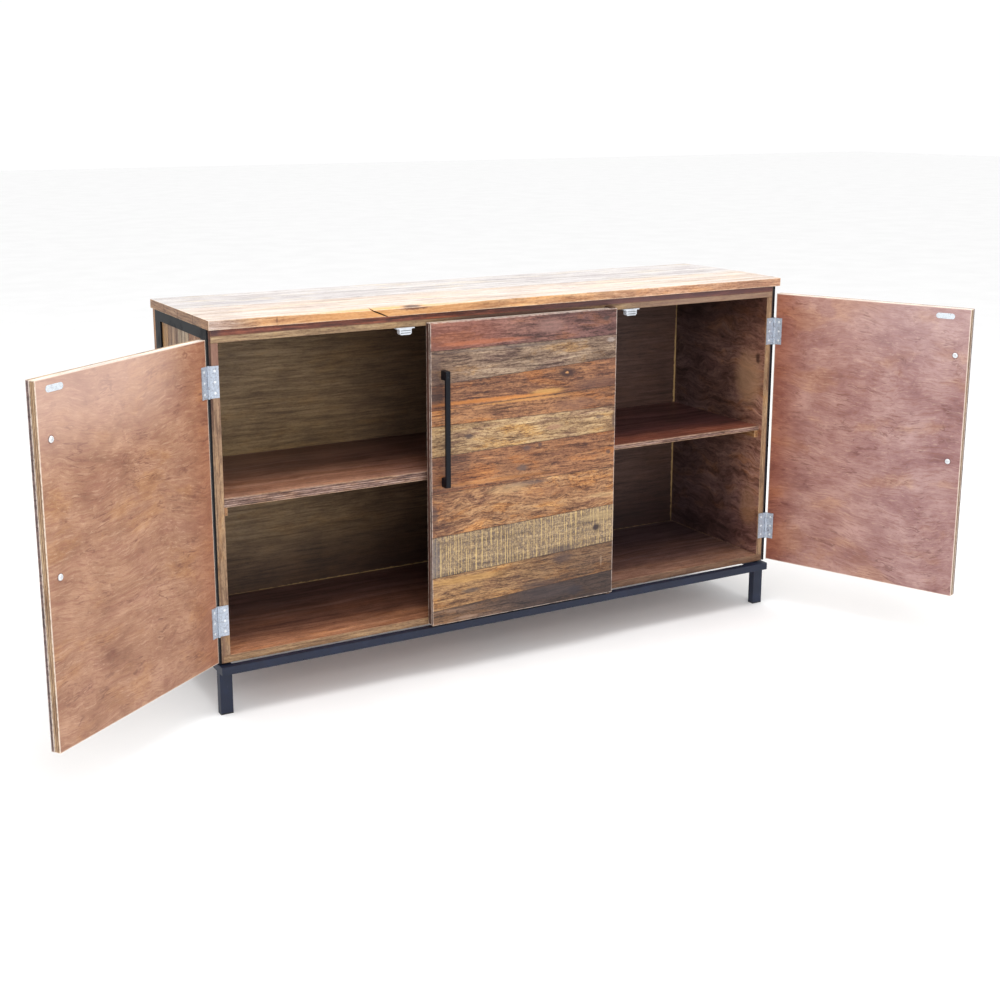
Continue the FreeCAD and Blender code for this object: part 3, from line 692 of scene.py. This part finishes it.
def make_uprights(front):
    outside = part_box("left_side_panel")[0].x
    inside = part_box("right_side_panel")[0].x
    edge = wood("upright_lipping", UPRIGHT_LIPPING, grain="Z", seed=6.1, ring_scale=120, drift=0.5,
                wear_tone=DARK_WEAR,
                spots=(((outside, front, 0.84), (0.05, 0.02, 0.085), (124, 84, 74), 0.75),
                       ((outside, front, 0.20), (0.007, 0.02, 0.14), (110, 76, 60), 0.7)))
    # The upright faces' fades are painted shade: darker towards the back, towards the top under the
    # ceiling, and towards the bottom.
    face = wood("upright_face", UPRIGHT_BROWN, grain="Y", seed=2.2, curl=0.10, curl_scale=7.0,
                ring_scale=34, rough=(0.35, 0.55), fibre=0.6, mottle=0.5, drift=0.6, streak_scale=130.0,
                fades=(("Y", -0.175, -0.03, (186, 192, 204)), ("Y", 0.0, 0.14, (224, 232, 248)),
                       ("Z", 0.70, 0.84, (172, 166, 168)), ("Z", 0.44, 0.20, (200, 196, 210), 0.9)),
                spots=(((inside, -0.130, 0.64), (0.03, 0.075, 0.10), (180, 140, 108), 0.6),
                       ((inside, -0.150, 0.28), (0.03, 0.050, 0.08), (164, 122, 92), 0.45),
                       ((inside, -0.165, 0.70), (0.02, 0.012, 0.02), (60, 38, 32), 0.85)))
    for node in ("left_side_panel", "right_side_panel", "divider_panel"):
        cabinet_board(node, 0.8 * MM, mm(6, 40, 25), rough_face(2.0, 0.15 * MM), "carcass_ply", face, edge)


def make_spacers(front):
    rail = wood("spacer_rail_wood", RAIL, seed=5.5, ring_scale=90, wear_tone=(176, 124, 88), wear=0.3,
                drift=0.6,
                spots=(((0.46, front, 0.893), (0.62, 0.05, 0.05), (96, 74, 78), 0.65),
                       ((-0.79, front, 0.893), (0.035, 0.05, 0.05), (58, 40, 44), 0.8)))
    for node in ("front_spacer_rail", "rear_spacer_rail"):
        cabinet_board(node, 0.9 * MM, mm(20, 20, 6), rough_face(3.0), "spacer_wood", rail)
    low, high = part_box("side_spacer_rails")
    for side, x in (("left", low.x), ("right", high.x - SPACER_WIDTH)):
        piece = board("visual_side_spacer_" + side, (x, low.y, low.z), (x + SPACER_WIDTH, high.y, high.z),
                      0.9 * MM, mm(12, 25, 8), 0.6, rough_face(4.0))
        fit(piece, "cabinet", "spacer_wood", ["side_spacer_rails"], rail)


def make_backs():
    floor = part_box("bottom_panel")[1].z
    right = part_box("right_side_panel")[0].x
    back_y = 0.205
    pale = (206, 170, 116)
    # The back's fades are painted shade: darker towards the right, behind the closed centre door, towards
    # the bottom, and darker again in the right bay.
    back = wood("back_panel_wood", OLIVE, seed=9.1, curl=0.008, ring_scale=120, fibre=0.35, mottle=0.3,
                rough=(0.4, 0.6), relief=0.3, drift=0.25, streak_scale=260.0,
                fades=(("X", -0.55, -0.05, (190, 184, 206)), ("Z", 0.36, 0.17, (152, 138, 146)),
                       ("X", 0.26, 0.34, (226, 210, 236))),
                spots=(((right, back_y, 0.5), (7 * MM, 0.02, 0.45), pale, 0.85),
                       ((0.0, back_y, floor), (0.9, 0.02, 3.5 * MM), pale, 0.5)))
    for node in ("wide_back_panel", "narrow_back_panel"):
        cabinet_board(node, 0.5 * MM, mm(30, 4, 30), rough_face(5.0, 0.1 * MM), "back_ply", back, worn=0.5)


def make_shelves():
    # The wide shelf's fades are painted light and shade: paler at its front edge, a painted sheen; darker
    # towards the back and to the right, behind the closed centre door. The narrow shelf's fade is painted
    # shade, darker towards the back.
    looks = (
        ("wide_shelf", 9, 1.7, ((118, 76, 58), (166, 114, 90), (190, 136, 110), (214, 164, 138)),
         (("Y", -0.125, -0.180, (282, 294, 302)), ("Y", -0.12, 0.06, (164, 160, 172)),
          ("X", -0.5, -0.2, (228, 226, 236)))),
        ("narrow_shelf", 5, 4.4, ((90, 50, 42), (126, 75, 61), (146, 88, 71), (170, 110, 91)),
         (("Y", -0.165, -0.04, (170, 178, 220)),)),
    )
    for node, plies, seed, tones, fades in looks:
        low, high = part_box(node)
        ply = (high.z - low.z) / plies
        face = wood(node + "_face", tones, seed=seed, curl=0.04, ring_scale=36, rough=(0.32, 0.52),
                    fades=fades, wear_tone=(214, 184, 160))
        edge = wood(node + "_edge", SHELF_EDGE, seed=seed, ring_scale=120, layers=("Z", low.z, ply),
                    fibre=0.9, drift=0.5)
        cabinet_board(node, 0.7 * MM, (20 * MM, 40 * MM, ply / 3), ply_ridges(2, low.z, ply, 0.25 * MM),
                      "carcass_ply", face, edge)
    cleat = wood("cleat_wood", CLEAT, grain="Y", seed=2.6, ring_scale=110)
    for node in ("wide_shelf_cleats", "narrow_shelf_cleats"):
        for i, (low, high) in enumerate(cleat_boxes(node)):
            piece = board(f"visual_{node}_{i + 1}", low, high, 0.7 * MM, mm(20, 25, 8), 0.6,
                          rough_face(6.0 + i, 0.15 * MM))
            fit(piece, "cabinet", "cleat_wood", [node], cleat)


def cleat_boxes(node):
    """Corners of a node's cleats: two at the ends of the bay, and one along the wide bay's back."""
    low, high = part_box(node)
    left, right = low.x + CLEAT_WIDTH, high.x - CLEAT_WIDTH
    boxes = [(low, (left, high.y, high.z)), ((right, low.y, low.z), high)]
    if node.startswith("wide"):
        boxes.append(((left, high.y - CLEAT_WIDTH, low.z), (right, high.y, high.z)))
    return boxes


# -------- sides and base
CLADDING_TONES = (
    ((86, 58, 34), (140, 102, 62), (172, 132, 84), (200, 162, 110)),
    ((70, 48, 34), (112, 80, 54), (140, 106, 74), (168, 134, 98)),
    ((90, 72, 54), (138, 116, 90), (164, 142, 114), (190, 170, 142)),
    ((80, 50, 32), (128, 84, 52), (158, 110, 70), (190, 142, 96)),
)


def make_cladding():
    faces = [wood(f"cladding_wood_{i + 1}", tones, grain="Z", seed=11.0 + i * 2.3, ring_scale=80,
                  specks=0.3) for i, tones in enumerate(CLADDING_TONES)]
    brown = wood("cladding_brown_edge", UPRIGHT_LIPPING, grain="Z", seed=14.0, drift=0.5,
                 wear_tone=(120, 84, 66),
                 fades=(("Z", 0.2, 0.1, (180, 150, 140)), ("Z", 0.62, 0.80, (168, 128, 120))))
    # The right side's cladding front edge is painted shade.
    front_edges = {"left": brown, "right": wood("cladding_dark_edge", SHADED_EDGE_TONES, grain="Z", seed=12.0, wear=0.0)}
    for side in ("left", "right"):
        node = side + "_side_cladding"
        points = [v.co for v in frame["nodes"][node].data.vertices]
        low, high = extent(points)
        edges = steps([p.y for p in points])
        for i, (near, far) in enumerate(zip(edges, edges[1:])):
            seed = i * 1.7 + (5 if side == "right" else 0)
            piece = board(f"visual_{node}_{i + 1}", (low.x, near, low.z), (high.x, far, high.z), 1.0 * MM,
                          mm(3, 15, 20), 0.7, rough_face(seed, 0.5 * MM),
                          sides={"y-": 1} if i == 0 else None, seed=seed, joints=("y-", "y+"))
            face = faces[(i * 3 + len(side)) % len(faces)]
            fit(piece, "cabinet", "cladding_wood", [node], face, front_edges[side])


def make_steel():
    # The side frames' near-black paint is partly their own dark paint and partly painted shadow along the
    # door edges.
    side_paint = painted_steel("side_frame_paint", (13, 15, 20), 0.5, 0.15, 0.15)
    base_paint = painted_steel("base_paint", (28, 35, 53), 0.48, shine=0.35)
    for side in ("left", "right"):
        dress(side + "_side_frame", side_paint, 0.8 * MM)
    for node in ("base_front_rail", "base_rear_rail", "base_left_rail", "base_right_rail",
                 "base_centre_rail", "base_legs"):
        dress(node, base_paint, 0.5 * MM)
    dress("base_mounting_plates", base_paint, 0.3 * MM)
    bracket_paint = painted_steel("bracket_paint", (86, 66, 54), 0.55, 0.2, 0.2)
    for node in ("upper_pivot_bracket", "lower_pivot_bracket"):
        dress(node, bracket_paint, 0.3 * MM)
    dress("leg_glides", moulded_plastic("glide_plastic", (30, 30, 32), 0.5), 0.5 * MM)


# -------- doors
# Tones of the centre door's planks, from the top down
CENTRE_TONES = (
    ((74, 40, 40), (114, 78, 70), (134, 94, 84), (164, 118, 104)),
    ((92, 72, 60), (130, 106, 88), (152, 128, 106), (182, 158, 132)),
    ((68, 38, 30), (118, 76, 54), (150, 104, 72), (194, 140, 92)),
    ((88, 52, 36), (138, 94, 62), (168, 118, 80), (202, 152, 102)),
    ((112, 84, 58), (162, 130, 92), (186, 154, 112), (210, 182, 138)),
    ((84, 46, 32), (130, 85, 58), (156, 107, 72), (190, 140, 94)),
    ((92, 56, 38), (146, 102, 69), (174, 129, 88), (204, 162, 116)),
    ((96, 78, 62), (140, 118, 90), (162, 138, 104), (194, 168, 126)),
    ((86, 58, 42), (140, 102, 66), (168, 129, 84), (198, 158, 108)),
    ((50, 38, 36), (86, 64, 52), (108, 82, 64), (136, 106, 84)),
)
SAWN_PLANK = 7
CURLY_PLANK = 6
# Which of those tones the planks have, from the top down, and what shifts their grain
PLANK_ORDER = {"left": (4, 8, 5, 1, 6, 9, 3, 7, 2), "centre": tuple(range(10)),
               "right": (6, 2, 8, 4, 0, 7, 5, 9, 3)}
PLANK_SEEDS = {"left": 20.0, "centre": 0.0, "right": 40.0}
PLANK_ENDS = ((50, 36, 38), (82, 62, 62), (100, 78, 76), (128, 104, 100))
PALE = (214, 196, 184)
DARK_KNOT = (54, 38, 34)
KNOT_SPREAD = 1.35              # how much wider a mark is drawn than it looks, as its rim fades out


# Marks of the centre door's planks, in millimetres: x, z, half width, half height, tone and share
PLANK_MARKS = (
    ((-190, 845, 130, 50, (170, 92, 64), 0.22), (232, 856, 10, 6, (70, 54, 52)),
     (-120, 825, 120, 6, (196, 112, 70), 0.35), (70, 850, 40, 20, (166, 128, 118), 0.35)),
    ((248, 801, 12, 6, (190, 178, 170), 0.4), (-250, 770, 14, 40, (84, 66, 62), 0.5),
     (-40, 806, 200, 4, (96, 84, 80), 0.5)),
    ((117, 728, 25, 12, (58, 34, 30), 0.95), (117, 728, 5, 2.6, (190, 136, 86), 0.9),
     (60, 687, 46, 7, (214, 160, 88), 0.6), (20, 680, 90, 4, (206, 140, 70), 0.5),
     (-120, 682, 150, 5, (206, 130, 62), 0.6),
     (-250, 706, 24, 26, (58, 44, 42), 0.65), (210, 694, 70, 16, (96, 66, 56), 0.6)),
    ((-20, 672, 150, 4, (206, 146, 84), 0.6), (140, 645, 70, 16, (122, 84, 68), 0.5),
     (-250, 672, 20, 6, (206, 130, 60), 0.6)),
    ((-161, 597, 13, 6, (70, 54, 52), 0.85), (80, 594, 24, 7, (150, 112, 88), 0.7),
     (217, 606, 14, 5, (92, 74, 70), 0.7), (262, 596, 8, 26, (66, 50, 52), 0.7)),
    ((2, 549, 13, 6, (84, 66, 64), 0.7), (40, 553, 7, 6, (74, 52, 50), 0.8),
     (-11, 500, 16, 8, (88, 74, 70), 0.75), (245, 511, 8, 5, (76, 58, 54), 0.8),
     (-100, 480, 180, 5, (186, 124, 66), 0.4)),
    ((0, 459, 60, 6, (92, 78, 74), 0.6), (-258, 412, 10, 26, (62, 46, 48), 0.7),
     (-50, 452, 60, 12, (196, 160, 116), 0.4), (60, 430, 70, 12, (140, 92, 62), 0.4),
     (230, 400, 50, 6, (204, 168, 120), 0.4)),
    ((212, 315, 11, 10, (44, 30, 34), 0.95), (111, 270, 40, 12, (72, 58, 58), 0.65),
     (-258, 300, 16, 60, (92, 88, 96), 0.55), (225, 345, 60, 12, (190, 164, 118), 0.4)),
    ((-158, 206, 26, 6, (74, 60, 56), 0.75), (110, 248, 30, 14, (66, 50, 50), 0.6),
     (40, 186, 60, 14, (72, 56, 52), 0.65), (228, 222, 3, 14, (176, 150, 126), 0.35),
     (-170, 238, 100, 10, (196, 150, 86), 0.5)),
    ((148, 156, 26, 14, (40, 32, 38), 0.8), (60, 165, 90, 20, (62, 52, 54), 0.5),
     (-170, 140, 30, 4, (170, 140, 120), 0.4)),
)
# How they darken along X: from, to, tone and share
PLANK_FADES = (
    ((-0.02, 0.22, (222, 222, 236), 0.9),),
    ((-0.10, -0.26, (222, 206, 198), 0.8),),
    ((-0.16, -0.27, (206, 190, 190), 0.8), (0.12, 0.25, (222, 214, 226), 0.8)),
    ((0.06, 0.22, (222, 214, 220), 0.9),),
    ((0.22, 0.27, (200, 176, 160), 0.5),),
    ((-0.08, -0.22, (214, 206, 212), 0.9),),
    ((-0.16, -0.26, (226, 212, 206), 0.8),),
    ((-0.22, -0.27, (190, 186, 196), 0.7),),
    ((-0.12, 0.14, (184, 178, 190), 0.95),),
    ((-0.22, 0.05, (166, 162, 176)),),
)


def centre_features(i, front):
    """Marks and fades of one of the centre door's planks, by its order from the top."""
    def spot(x, z, wide, tall, tone=DARK_KNOT, share=0.8):
        spread = KNOT_SPREAD * MM
        return ((x * MM, front, z * MM), (spread * wide, 0.02, spread * tall), tone, share)
    return [spot(*mark) for mark in PLANK_MARKS[i]], [("X", *fade) for fade in PLANK_FADES[i]]


def make_planks(side):
    """The planks on a door's face, one piece each, with one of them left rough from the saw."""
    body = side + "_door"
    node = body + "_face_planks"
    points = closed_points(node, body)
    low, high = extent(points)
    lefts = steps([p.z for p in points if p.x < low.x + 1 * MM])[::-1]
    rights = steps([p.z for p in points if p.x > high.x - 1 * MM])[::-1]
    order, seed_base = PLANK_ORDER[side], PLANK_SEEDS[side]
    end = wood(side + "_plank_ends", PLANK_ENDS, grain="Y", seed=seed_base, wear_tone=PALE, wear=0.85)
    for i, tone in enumerate(order):
        top, bottom = (lefts[i], rights[i]), (lefts[i + 1], rights[i + 1])
        seed = seed_base + i * 2.37
        spots, fades = centre_features(tone, low.y) if side == "centre" else ((), ())
        sawn = tone == SAWN_PLANK
        curl, curl_scale = (0.05, 9.0) if tone == CURLY_PLANK else (0.016, 5.0)
        material = wood(f"{side}_plank_{i + 1}_wood", CENTRE_TONES[tone], seed=seed, curl=curl,
                        curl_scale=curl_scale, ring_scale=80, fibre=0.35 if sawn else 0.8, mottle=0.7,
                        relief=0.5, spots=spots, fades=fades, specks=0.3, drift=0.2 if sawn else 0.85,
                        streak_scale=215.0, sawn=sawn, wear_tone=PALE, wear=0.8, grime=0.75)
        base = Vector((low.x, low.y, min(bottom)))
        peak = Vector((high.x, high.y, max(top)))
        joints = [name for name, outer in (("z+", i == 0), ("z-", i == len(order) - 1)) if not outer]
        piece = board(f"visual_{side}_door_plank_{i + 1}", base, peak, 0.9 * MM,
                      (1.2 * MM if sawn else 12 * MM, 8 * MM, 10 * MM), 0.7,
                      plank_dent(seed, sawn), plank_shape(low, high, base, peak, top, bottom),
                      {"x-": 1, "x+": 1}, seed, joints)
        fit(piece, body, "door_planks", [node], material, end)


def plank_shape(low, high, base, peak, top, bottom):
    """Slants a plank's long edges to its joints."""
    def shape(p):
        along = (p.x - low.x) / (high.x - low.x)
        up = (p.z - base.z) / (peak.z - base.z)
        z0 = bottom[0] + (bottom[1] - bottom[0]) * along
        z1 = top[0] + (top[1] - top[0]) * along
        return Vector((p.x, p.y, z0 + (z1 - z0) * up))
    return shape


def plank_dent(seed, sawn):
    """Wear on a plank's front: each stands back a little differently, and one is cut by a saw."""
    setback = (0.5 + 0.5 * math.sin(seed * 5.3)) * 0.45 * MM
    wave = rough_face(seed, 0.35 * MM, 18.0)

    def dent(point, normal):
        if normal.y > -0.5:
            return 0.0
        depth = setback + wave(point, normal)
        if sawn:
            tooth = noise.noise(Vector((point.x * 260.0, seed, point.z * 6.0)))
            depth += 0.55 * MM * max(0.0, tooth + 0.15)
        return depth
    return dent


DOOR_LOOKS = {
    "left": ((120, 82, 63), (149, 109, 85), (165, 124, 98), (185, 145, 118)),
    "centre": ((122, 84, 70), (150, 110, 92), (166, 126, 107), (186, 146, 127)),
    "right": ((120, 80, 76), (150, 108, 101), (168, 128, 118), (190, 150, 139)),
}
GOLDEN_PLY = ((124, 92, 64), (168, 134, 98), (192, 160, 122), (212, 184, 146))
DARK_PLY = ((54, 34, 32), (88, 58, 52), (110, 76, 66), (142, 104, 92))
# Near-white tones for the doors' top edges: a painted highlight.
TOP_EDGE_HIGHLIGHT_PLY = ((196, 180, 164), (226, 212, 198), (238, 228, 218), (248, 242, 236))


def make_panel(side):
    """The plywood behind the planks: curly veneer inside, layers on its edges."""
    body = side + "_door"
    node = body + "_panel"
    low, high = extent(closed_points(node, body))
    ply = (high.y - low.y) / 7
    seed = {"left": 3.0, "centre": 13.0, "right": 23.0}[side]
    hinged = high.x if side == "right" else low.x
    veneer = door_veneer(side, seed, hinged, high.y)
    edge = wood(side + "_door_edge", DARK_PLY if side == "centre" else GOLDEN_PLY, grain="Z", seed=seed,
                ring_scale=110, layers=("Y", low.y, ply), wear_tone=(244, 230, 214), wear=1.0)
    # The door's top edge is painted near white: a painted highlight where the light from above washes it
    # out.
    top = wood(side + "_door_top_edge", TOP_EDGE_HIGHLIGHT_PLY, seed=seed, ring_scale=110, fibre=0.3, mottle=0.2)
    piece = board("visual_" + node, low, high, 0.6 * MM, (24 * MM, ply / 3, 24 * MM), 0.5,
                  ply_ridges(1, low.y, ply, 0.12 * MM), sides={"x-": 1, "x+": 1, "z-": 1, "z+": 2})
    fit(piece, body, "door_ply", [node], veneer, edge, top)


def door_veneer(side, seed, hinged, inner_face):
    """Rotary-cut veneer: fine dark hairs that flow round slow swirls."""
    s = Shader(side + "_door_veneer")
    place = s.mapped(s.place, offset=(seed, 0, seed * 0.7))
    swirl = s.warped(s.warped(place, 3.0, 0.10, 1.0), 15.0, 0.022, 2.0)
    broad = s.noise(s.mapped(swirl, (0.6, 1, 1)), 16.0, 5.0, 0.66)
    s.colour = s.ramp(broad, DOOR_LOOKS[side], (0.22, 0.42, 0.58, 0.80))
    tint = s.noise(s.mapped(swirl, (0.5, 1, 1), (3.0, 0, 1.0)), 11.0, 4.0, 0.6)
    s.stain(s.span(tint, 0.52, 0.66, 0.0, 0.6), (266, 258, 222))
    s.stain(s.span(tint, 0.48, 0.34, 0.0, 0.6), (228, 214, 220))
    hairs = s.noise(s.mapped(swirl, (0.10, 1, 1)), 200.0, 5.0, 0.78, 0.4)
    curls = s.span(hairs, 0.50, 0.60)
    s.cover(curls, (134, 86, 70), 0.5)
    s.cover(s.span(hairs, 0.46, 0.34, 0.0, 0.34), (208, 170, 142))
    contours = s.noise(s.mapped(swirl, (0.11, 1, 1), (0, 0, 5.0)), 46.0, 3.0, 0.6, 0.5)
    thread = s.span(s.maths("ABSOLUTE", s.maths("SUBTRACT", contours, 0.5)), 0.032, 0.010)
    gate = s.span(s.noise(place, 14.0, 4.0, 0.7), 0.47, 0.64, 0.0, 1.0)
    dark = s.maths("MULTIPLY", thread, gate)
    s.cover(dark, (98, 54, 46), 0.52)
    # Darker near the hinge, paler near the top away from the hinge, pinker on the right door's free side,
    # and darker towards the bottom.
    inward = 1.0 if hinged < 0 else -1.0
    near, middle, far = [hinged + inward * x for x in (0.12, 0.24, 0.42)]
    across = s.axis(s.warped(s.place, 8.0, 0.04), "X")
    near_pin = s.span(across, near, hinged, 0.0, 0.55 if side == "left" else 0.9)
    s.stain(near_pin, (222, 176, 146))
    height = s.axis(s.place, "Z")
    paler_top = s.span(height, 0.66, 0.86, 0.0, 0.36 if side == "left" else 0.15)
    away = s.span(across, hinged + inward * 0.05, middle)
    s.cover(paler_top, (226, 196, 186), away)
    free_side = s.span(across, near, far)
    pinker = (256, 268, 282) if side == "right" else (255, 255, 255)
    s.stain(free_side, pinker)
    s.stain(s.span(height, 0.45, 0.15, 0.0, 0.8), (244, 238, 236))
    for bolt in islands(side + "_door_handle_bolts", side + "_door"):
        low, high = extent(bolt)
        centre = ((low.x + high.x) / 2, inner_face, (low.z + high.z) / 2)
        ring = s.spot(s.place, centre, (9.5 * MM, 0.02, 9.5 * MM), 0.3)
        s.cover(ring, (104, 62, 52), 0.75)
    s.cover(s.attribute("wear"), (240, 222, 206), 0.85)
    s.height = hairs
    s.carve(curls, -0.6)
    return s.finish(s.span(broad, 0.3, 0.7, 0.55, 0.42), 0.2 * MM)


# -------- hardware
def cross_head(name):
    """A domed screw head of radius 1 and height 1 with a cross recess, standing on z = 0."""
    cuts = (0.0, 0.13, 0.17, 0.40, 0.62, 0.66, 0.82, 0.93, 1.0)
    marks = [-c for c in reversed(cuts[1:])] + list(cuts)
    mesh = bmesh.new()
    grid = {}
    for i, u in enumerate(marks):
        for j, v in enumerate(marks):
            x = u * math.sqrt(1 - v * v / 2)
            y = v * math.sqrt(1 - u * u / 2)
            z = (1 - min(1.0, x * x + y * y)) ** 0.4
            arm = (abs(u) < 0.15 and abs(v) < 0.64) or (abs(v) < 0.15 and abs(u) < 0.64)
            grid[i, j] = mesh.verts.new((x, y, z * (0.35 if arm else 1.0)))
    count = len(marks) - 1
    for i, j in itertools.product(range(count), range(count)):
        mesh.faces.new((grid[i, j], grid[i + 1, j], grid[i + 1, j + 1], grid[i, j + 1]))
    rim = [e for e in mesh.edges if e.is_boundary]
    bmesh.ops.contextual_create(mesh, geom=rim)
    for face in mesh.faces:
        face.smooth = len(face.verts) == 4
    return mesh_data(name, mesh)


def head_place(points):
    """Centre of the underside, outward direction, radius and height of a screw's head."""
    low, high = extent(points)
    axis = max(range(3), key=lambda i: high[i] - low[i])
    others = [i for i in range(3) if i != axis]
    middle = (low + high) / 2
    radius = max(math.hypot(*[p[i] - middle[i] for i in others]) for p in points)
    wide = [p[axis] for p in points if math.hypot(*[p[i] - middle[i] for i in others]) > 0.95 * radius]
    outward = Vector((0, 0, 0))
    outward[axis] = 1.0 if min(wide) > middle[axis] else -1.0
    seat = middle.copy()
    seat[axis] = min(wide) if outward[axis] > 0 else max(wide)
    return seat, outward, radius, max(wide) - min(wide)


def make_screws(node, body, data):
    """A cross-head for every screw of a node."""
    for i, points in enumerate(islands(node, body)):
        seat, outward, radius, height = head_place(points)
        piece = add_object(f"visual_{node}_{i + 1}", data)
        spin = Matrix.Rotation(0.9 * i, 4, "Z")
        size = Matrix.Diagonal((radius, radius, height, 1.0))
        aim = outward.to_track_quat("Z", "Y").to_matrix().to_4x4()
        piece.matrix_world = closed_to_rest(body) @ Matrix.Translation(seat) @ aim @ spin @ size
        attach(piece, body)
        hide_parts(node)


def make_strike(side, zinc):
    """A strike plate with round ends."""
    body = side + "_door"
    node = body + "_strike_plate"
    low, high = extent(closed_points(node, body))
    radius = (high.z - low.z) / 2
    middle = (low.z + high.z) / 2
    outline = []
    for centre, start in ((high.x - radius, -90), (low.x + radius, 90)):
        for step in range(13):
            angle = math.radians(start + step * 15)
            outline.append((centre + radius * math.cos(angle), middle + radius * math.sin(angle)))
    mesh = bmesh.new()
    front, back = [[mesh.verts.new((x, y, z)) for x, z in outline] for y in (low.y, high.y)]
    mesh.faces.new(front)
    mesh.faces.new(back)
    for i in range(len(outline)):
        mesh.faces.new((front[i - 1], front[i], back[i], back[i - 1]))
    piece = add_object("visual_" + node, mesh_data("visual_" + node, mesh))
    bevel = piece.modifiers.new("Pressed edge", "BEVEL")
    bevel.width = 0.4 * MM
    bevel.segments = 2
    fit(piece, body, "zinc", [node], zinc)


POLE_PROUD = 0.08 * MM          # how far a catch's pole strips stand out of its front
POLE_HALF_LENGTH = 13 * MM
POLE_HEIGHT = 2 * MM


def make_catch_magnets(steel):
    """Two pole strips on the front of each catch."""
    for i, points in enumerate(islands("magnetic_catches", "cabinet")):
        low, high = extent(points)
        middle = (low.x + high.x) / 2
        left, right = middle - POLE_HALF_LENGTH, middle + POLE_HALF_LENGTH
        for j, z in enumerate((low.z + 3.5 * MM, low.z + 9.0 * MM)):
            piece = board(f"visual_catch_{i + 1}_pole_{j + 1}", (left, low.y - POLE_PROUD, z),
                          (right, low.y + 1.5 * MM, z + POLE_HEIGHT), 0.2 * MM)
            piece.data.materials.append(steel)
            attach(piece, "cabinet")


def make_hardware():
    zinc = zinc_plate("zinc")
    bright = zinc_plate("bright_screw", (236, 240, 244), 0.30, 0.2, 0.3)
    strike = zinc_plate("strike_zinc", (226, 236, 244), 0.34, 0.35, 0.3)
    black = painted_steel("handle_powder_coat", (9, 13, 21), 0.45, 0.15, 0.22)
    head = cross_head("screw_head")
    head.materials.append(bright)
    for node in ("fixed_hinge_leaves", "hinge_pins", "left_door_hinge_leaves", "right_door_hinge_leaves",
                 "centre_door_pivot_bushes"):
        dress(node, zinc, 0.25 * MM)
    for node in ("hardware_screws", "base_screws", "top_screws"):
        make_screws(node, "cabinet", head)
    for side in ("left", "centre", "right"):
        body = side + "_door"
        make_screws(body + "_screws", body, head)
        make_screws(body + "_handle_bolts", body, head)
        make_strike(side, strike)
        dress(body + "_handle", black, 0.9 * MM)
    dress("magnetic_catches", moulded_plastic("catch_plastic", (206, 212, 220), 0.38), 0.6 * MM)
    make_catch_magnets(zinc_plate("pole_steel", (120, 124, 130), 0.4, 0.6, 0.5))


# -------- stage
CAMERA_PLACE = Vector((-1.804, -3.202, 1.376))
CAMERA_HEADING = math.radians(28.96)
CAMERA_DIP = math.radians(12.71)
CAMERA_ROLL = math.radians(0.13)
CAMERA_LENS = 52.08
CAMERA_SHIFT = (0.0285, -0.0683)
FLOOR_HALF = 30.0


def make_camera():
    camera = add_object("Camera", bpy.data.cameras.new("Camera"))
    camera.data.lens = CAMERA_LENS
    camera.data.sensor_width = 36.0
    camera.data.shift_x, camera.data.shift_y = CAMERA_SHIFT
    turn = Matrix.Rotation(-CAMERA_HEADING, 4, "Z") @ Matrix.Rotation(math.pi / 2 - CAMERA_DIP, 4, "X")
    camera.matrix_world = Matrix.Translation(CAMERA_PLACE) @ turn @ Matrix.Rotation(-CAMERA_ROLL, 4, "Z")
    bpy.context.scene.camera = camera


def area_light(name, place, target, size, power):
    data = bpy.data.lights.new(name, "AREA")
    data.shape = "RECTANGLE"
    data.size, data.size_y = size
    data.energy = power
    light = add_object(name, data)
    light.location = place
    light.rotation_euler = (Vector(target) - Vector(place)).to_track_quat("-Z", "Y").to_euler()


def make_stage():
    floor_data = bpy.data.meshes.new("stage_floor")
    corners = [(x * FLOOR_HALF, y * FLOOR_HALF, 0) for x, y in ((-1, -1), (1, -1), (1, 1), (-1, 1))]
    floor_data.from_pydata(corners, [], [(0, 1, 2, 3)])
    floor = add_object("stage_floor", floor_data)
    s = Shader("stage_floor_paint")
    tone = s.span(s.noise(s.place, 3.0, 3.0), 0.3, 0.7)
    s.put(s.surface.inputs["Base Color"], s.mix(tone, (0.93, 0.93, 0.93, 1), (0.96, 0.96, 0.96, 1)))
    s.surface.inputs["Roughness"].default_value = 0.9
    s.surface.inputs["Specular IOR Level"].default_value = 0.1
    floor_data.materials.append(s.material)
    world = bpy.data.worlds.new("Studio")
    world.use_nodes = True
    background = world.node_tree.nodes["Background"]
    background.inputs["Color"].default_value = (1.0, 1.0, 1.0, 1.0)
    background.inputs["Strength"].default_value = 1.02
    bpy.context.scene.world = world
    area_light("Overhead", (0.0, -0.4, 3.6), (0.0, 0.0, 0.9), (3.0, 2.0), 78)
    area_light("Front", (-1.2, -4.2, 2.3), (0.0, 0.0, 0.5), (2.4, 1.8), 50)
    bpy.context.scene.view_settings.view_transform = "Standard"
    bpy.context.scene.view_settings.look = "None"


carcass_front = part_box("front_spacer_rail")[0].y
make_top()
make_ceiling_and_floor(carcass_front)
make_uprights(carcass_front)
make_spacers(carcass_front)
make_backs()
make_shelves()
make_cladding()
make_steel()
for door_side in ("left", "centre", "right"):
    make_panel(door_side)
    make_planks(door_side)
make_hardware()
make_camera()
make_stage()
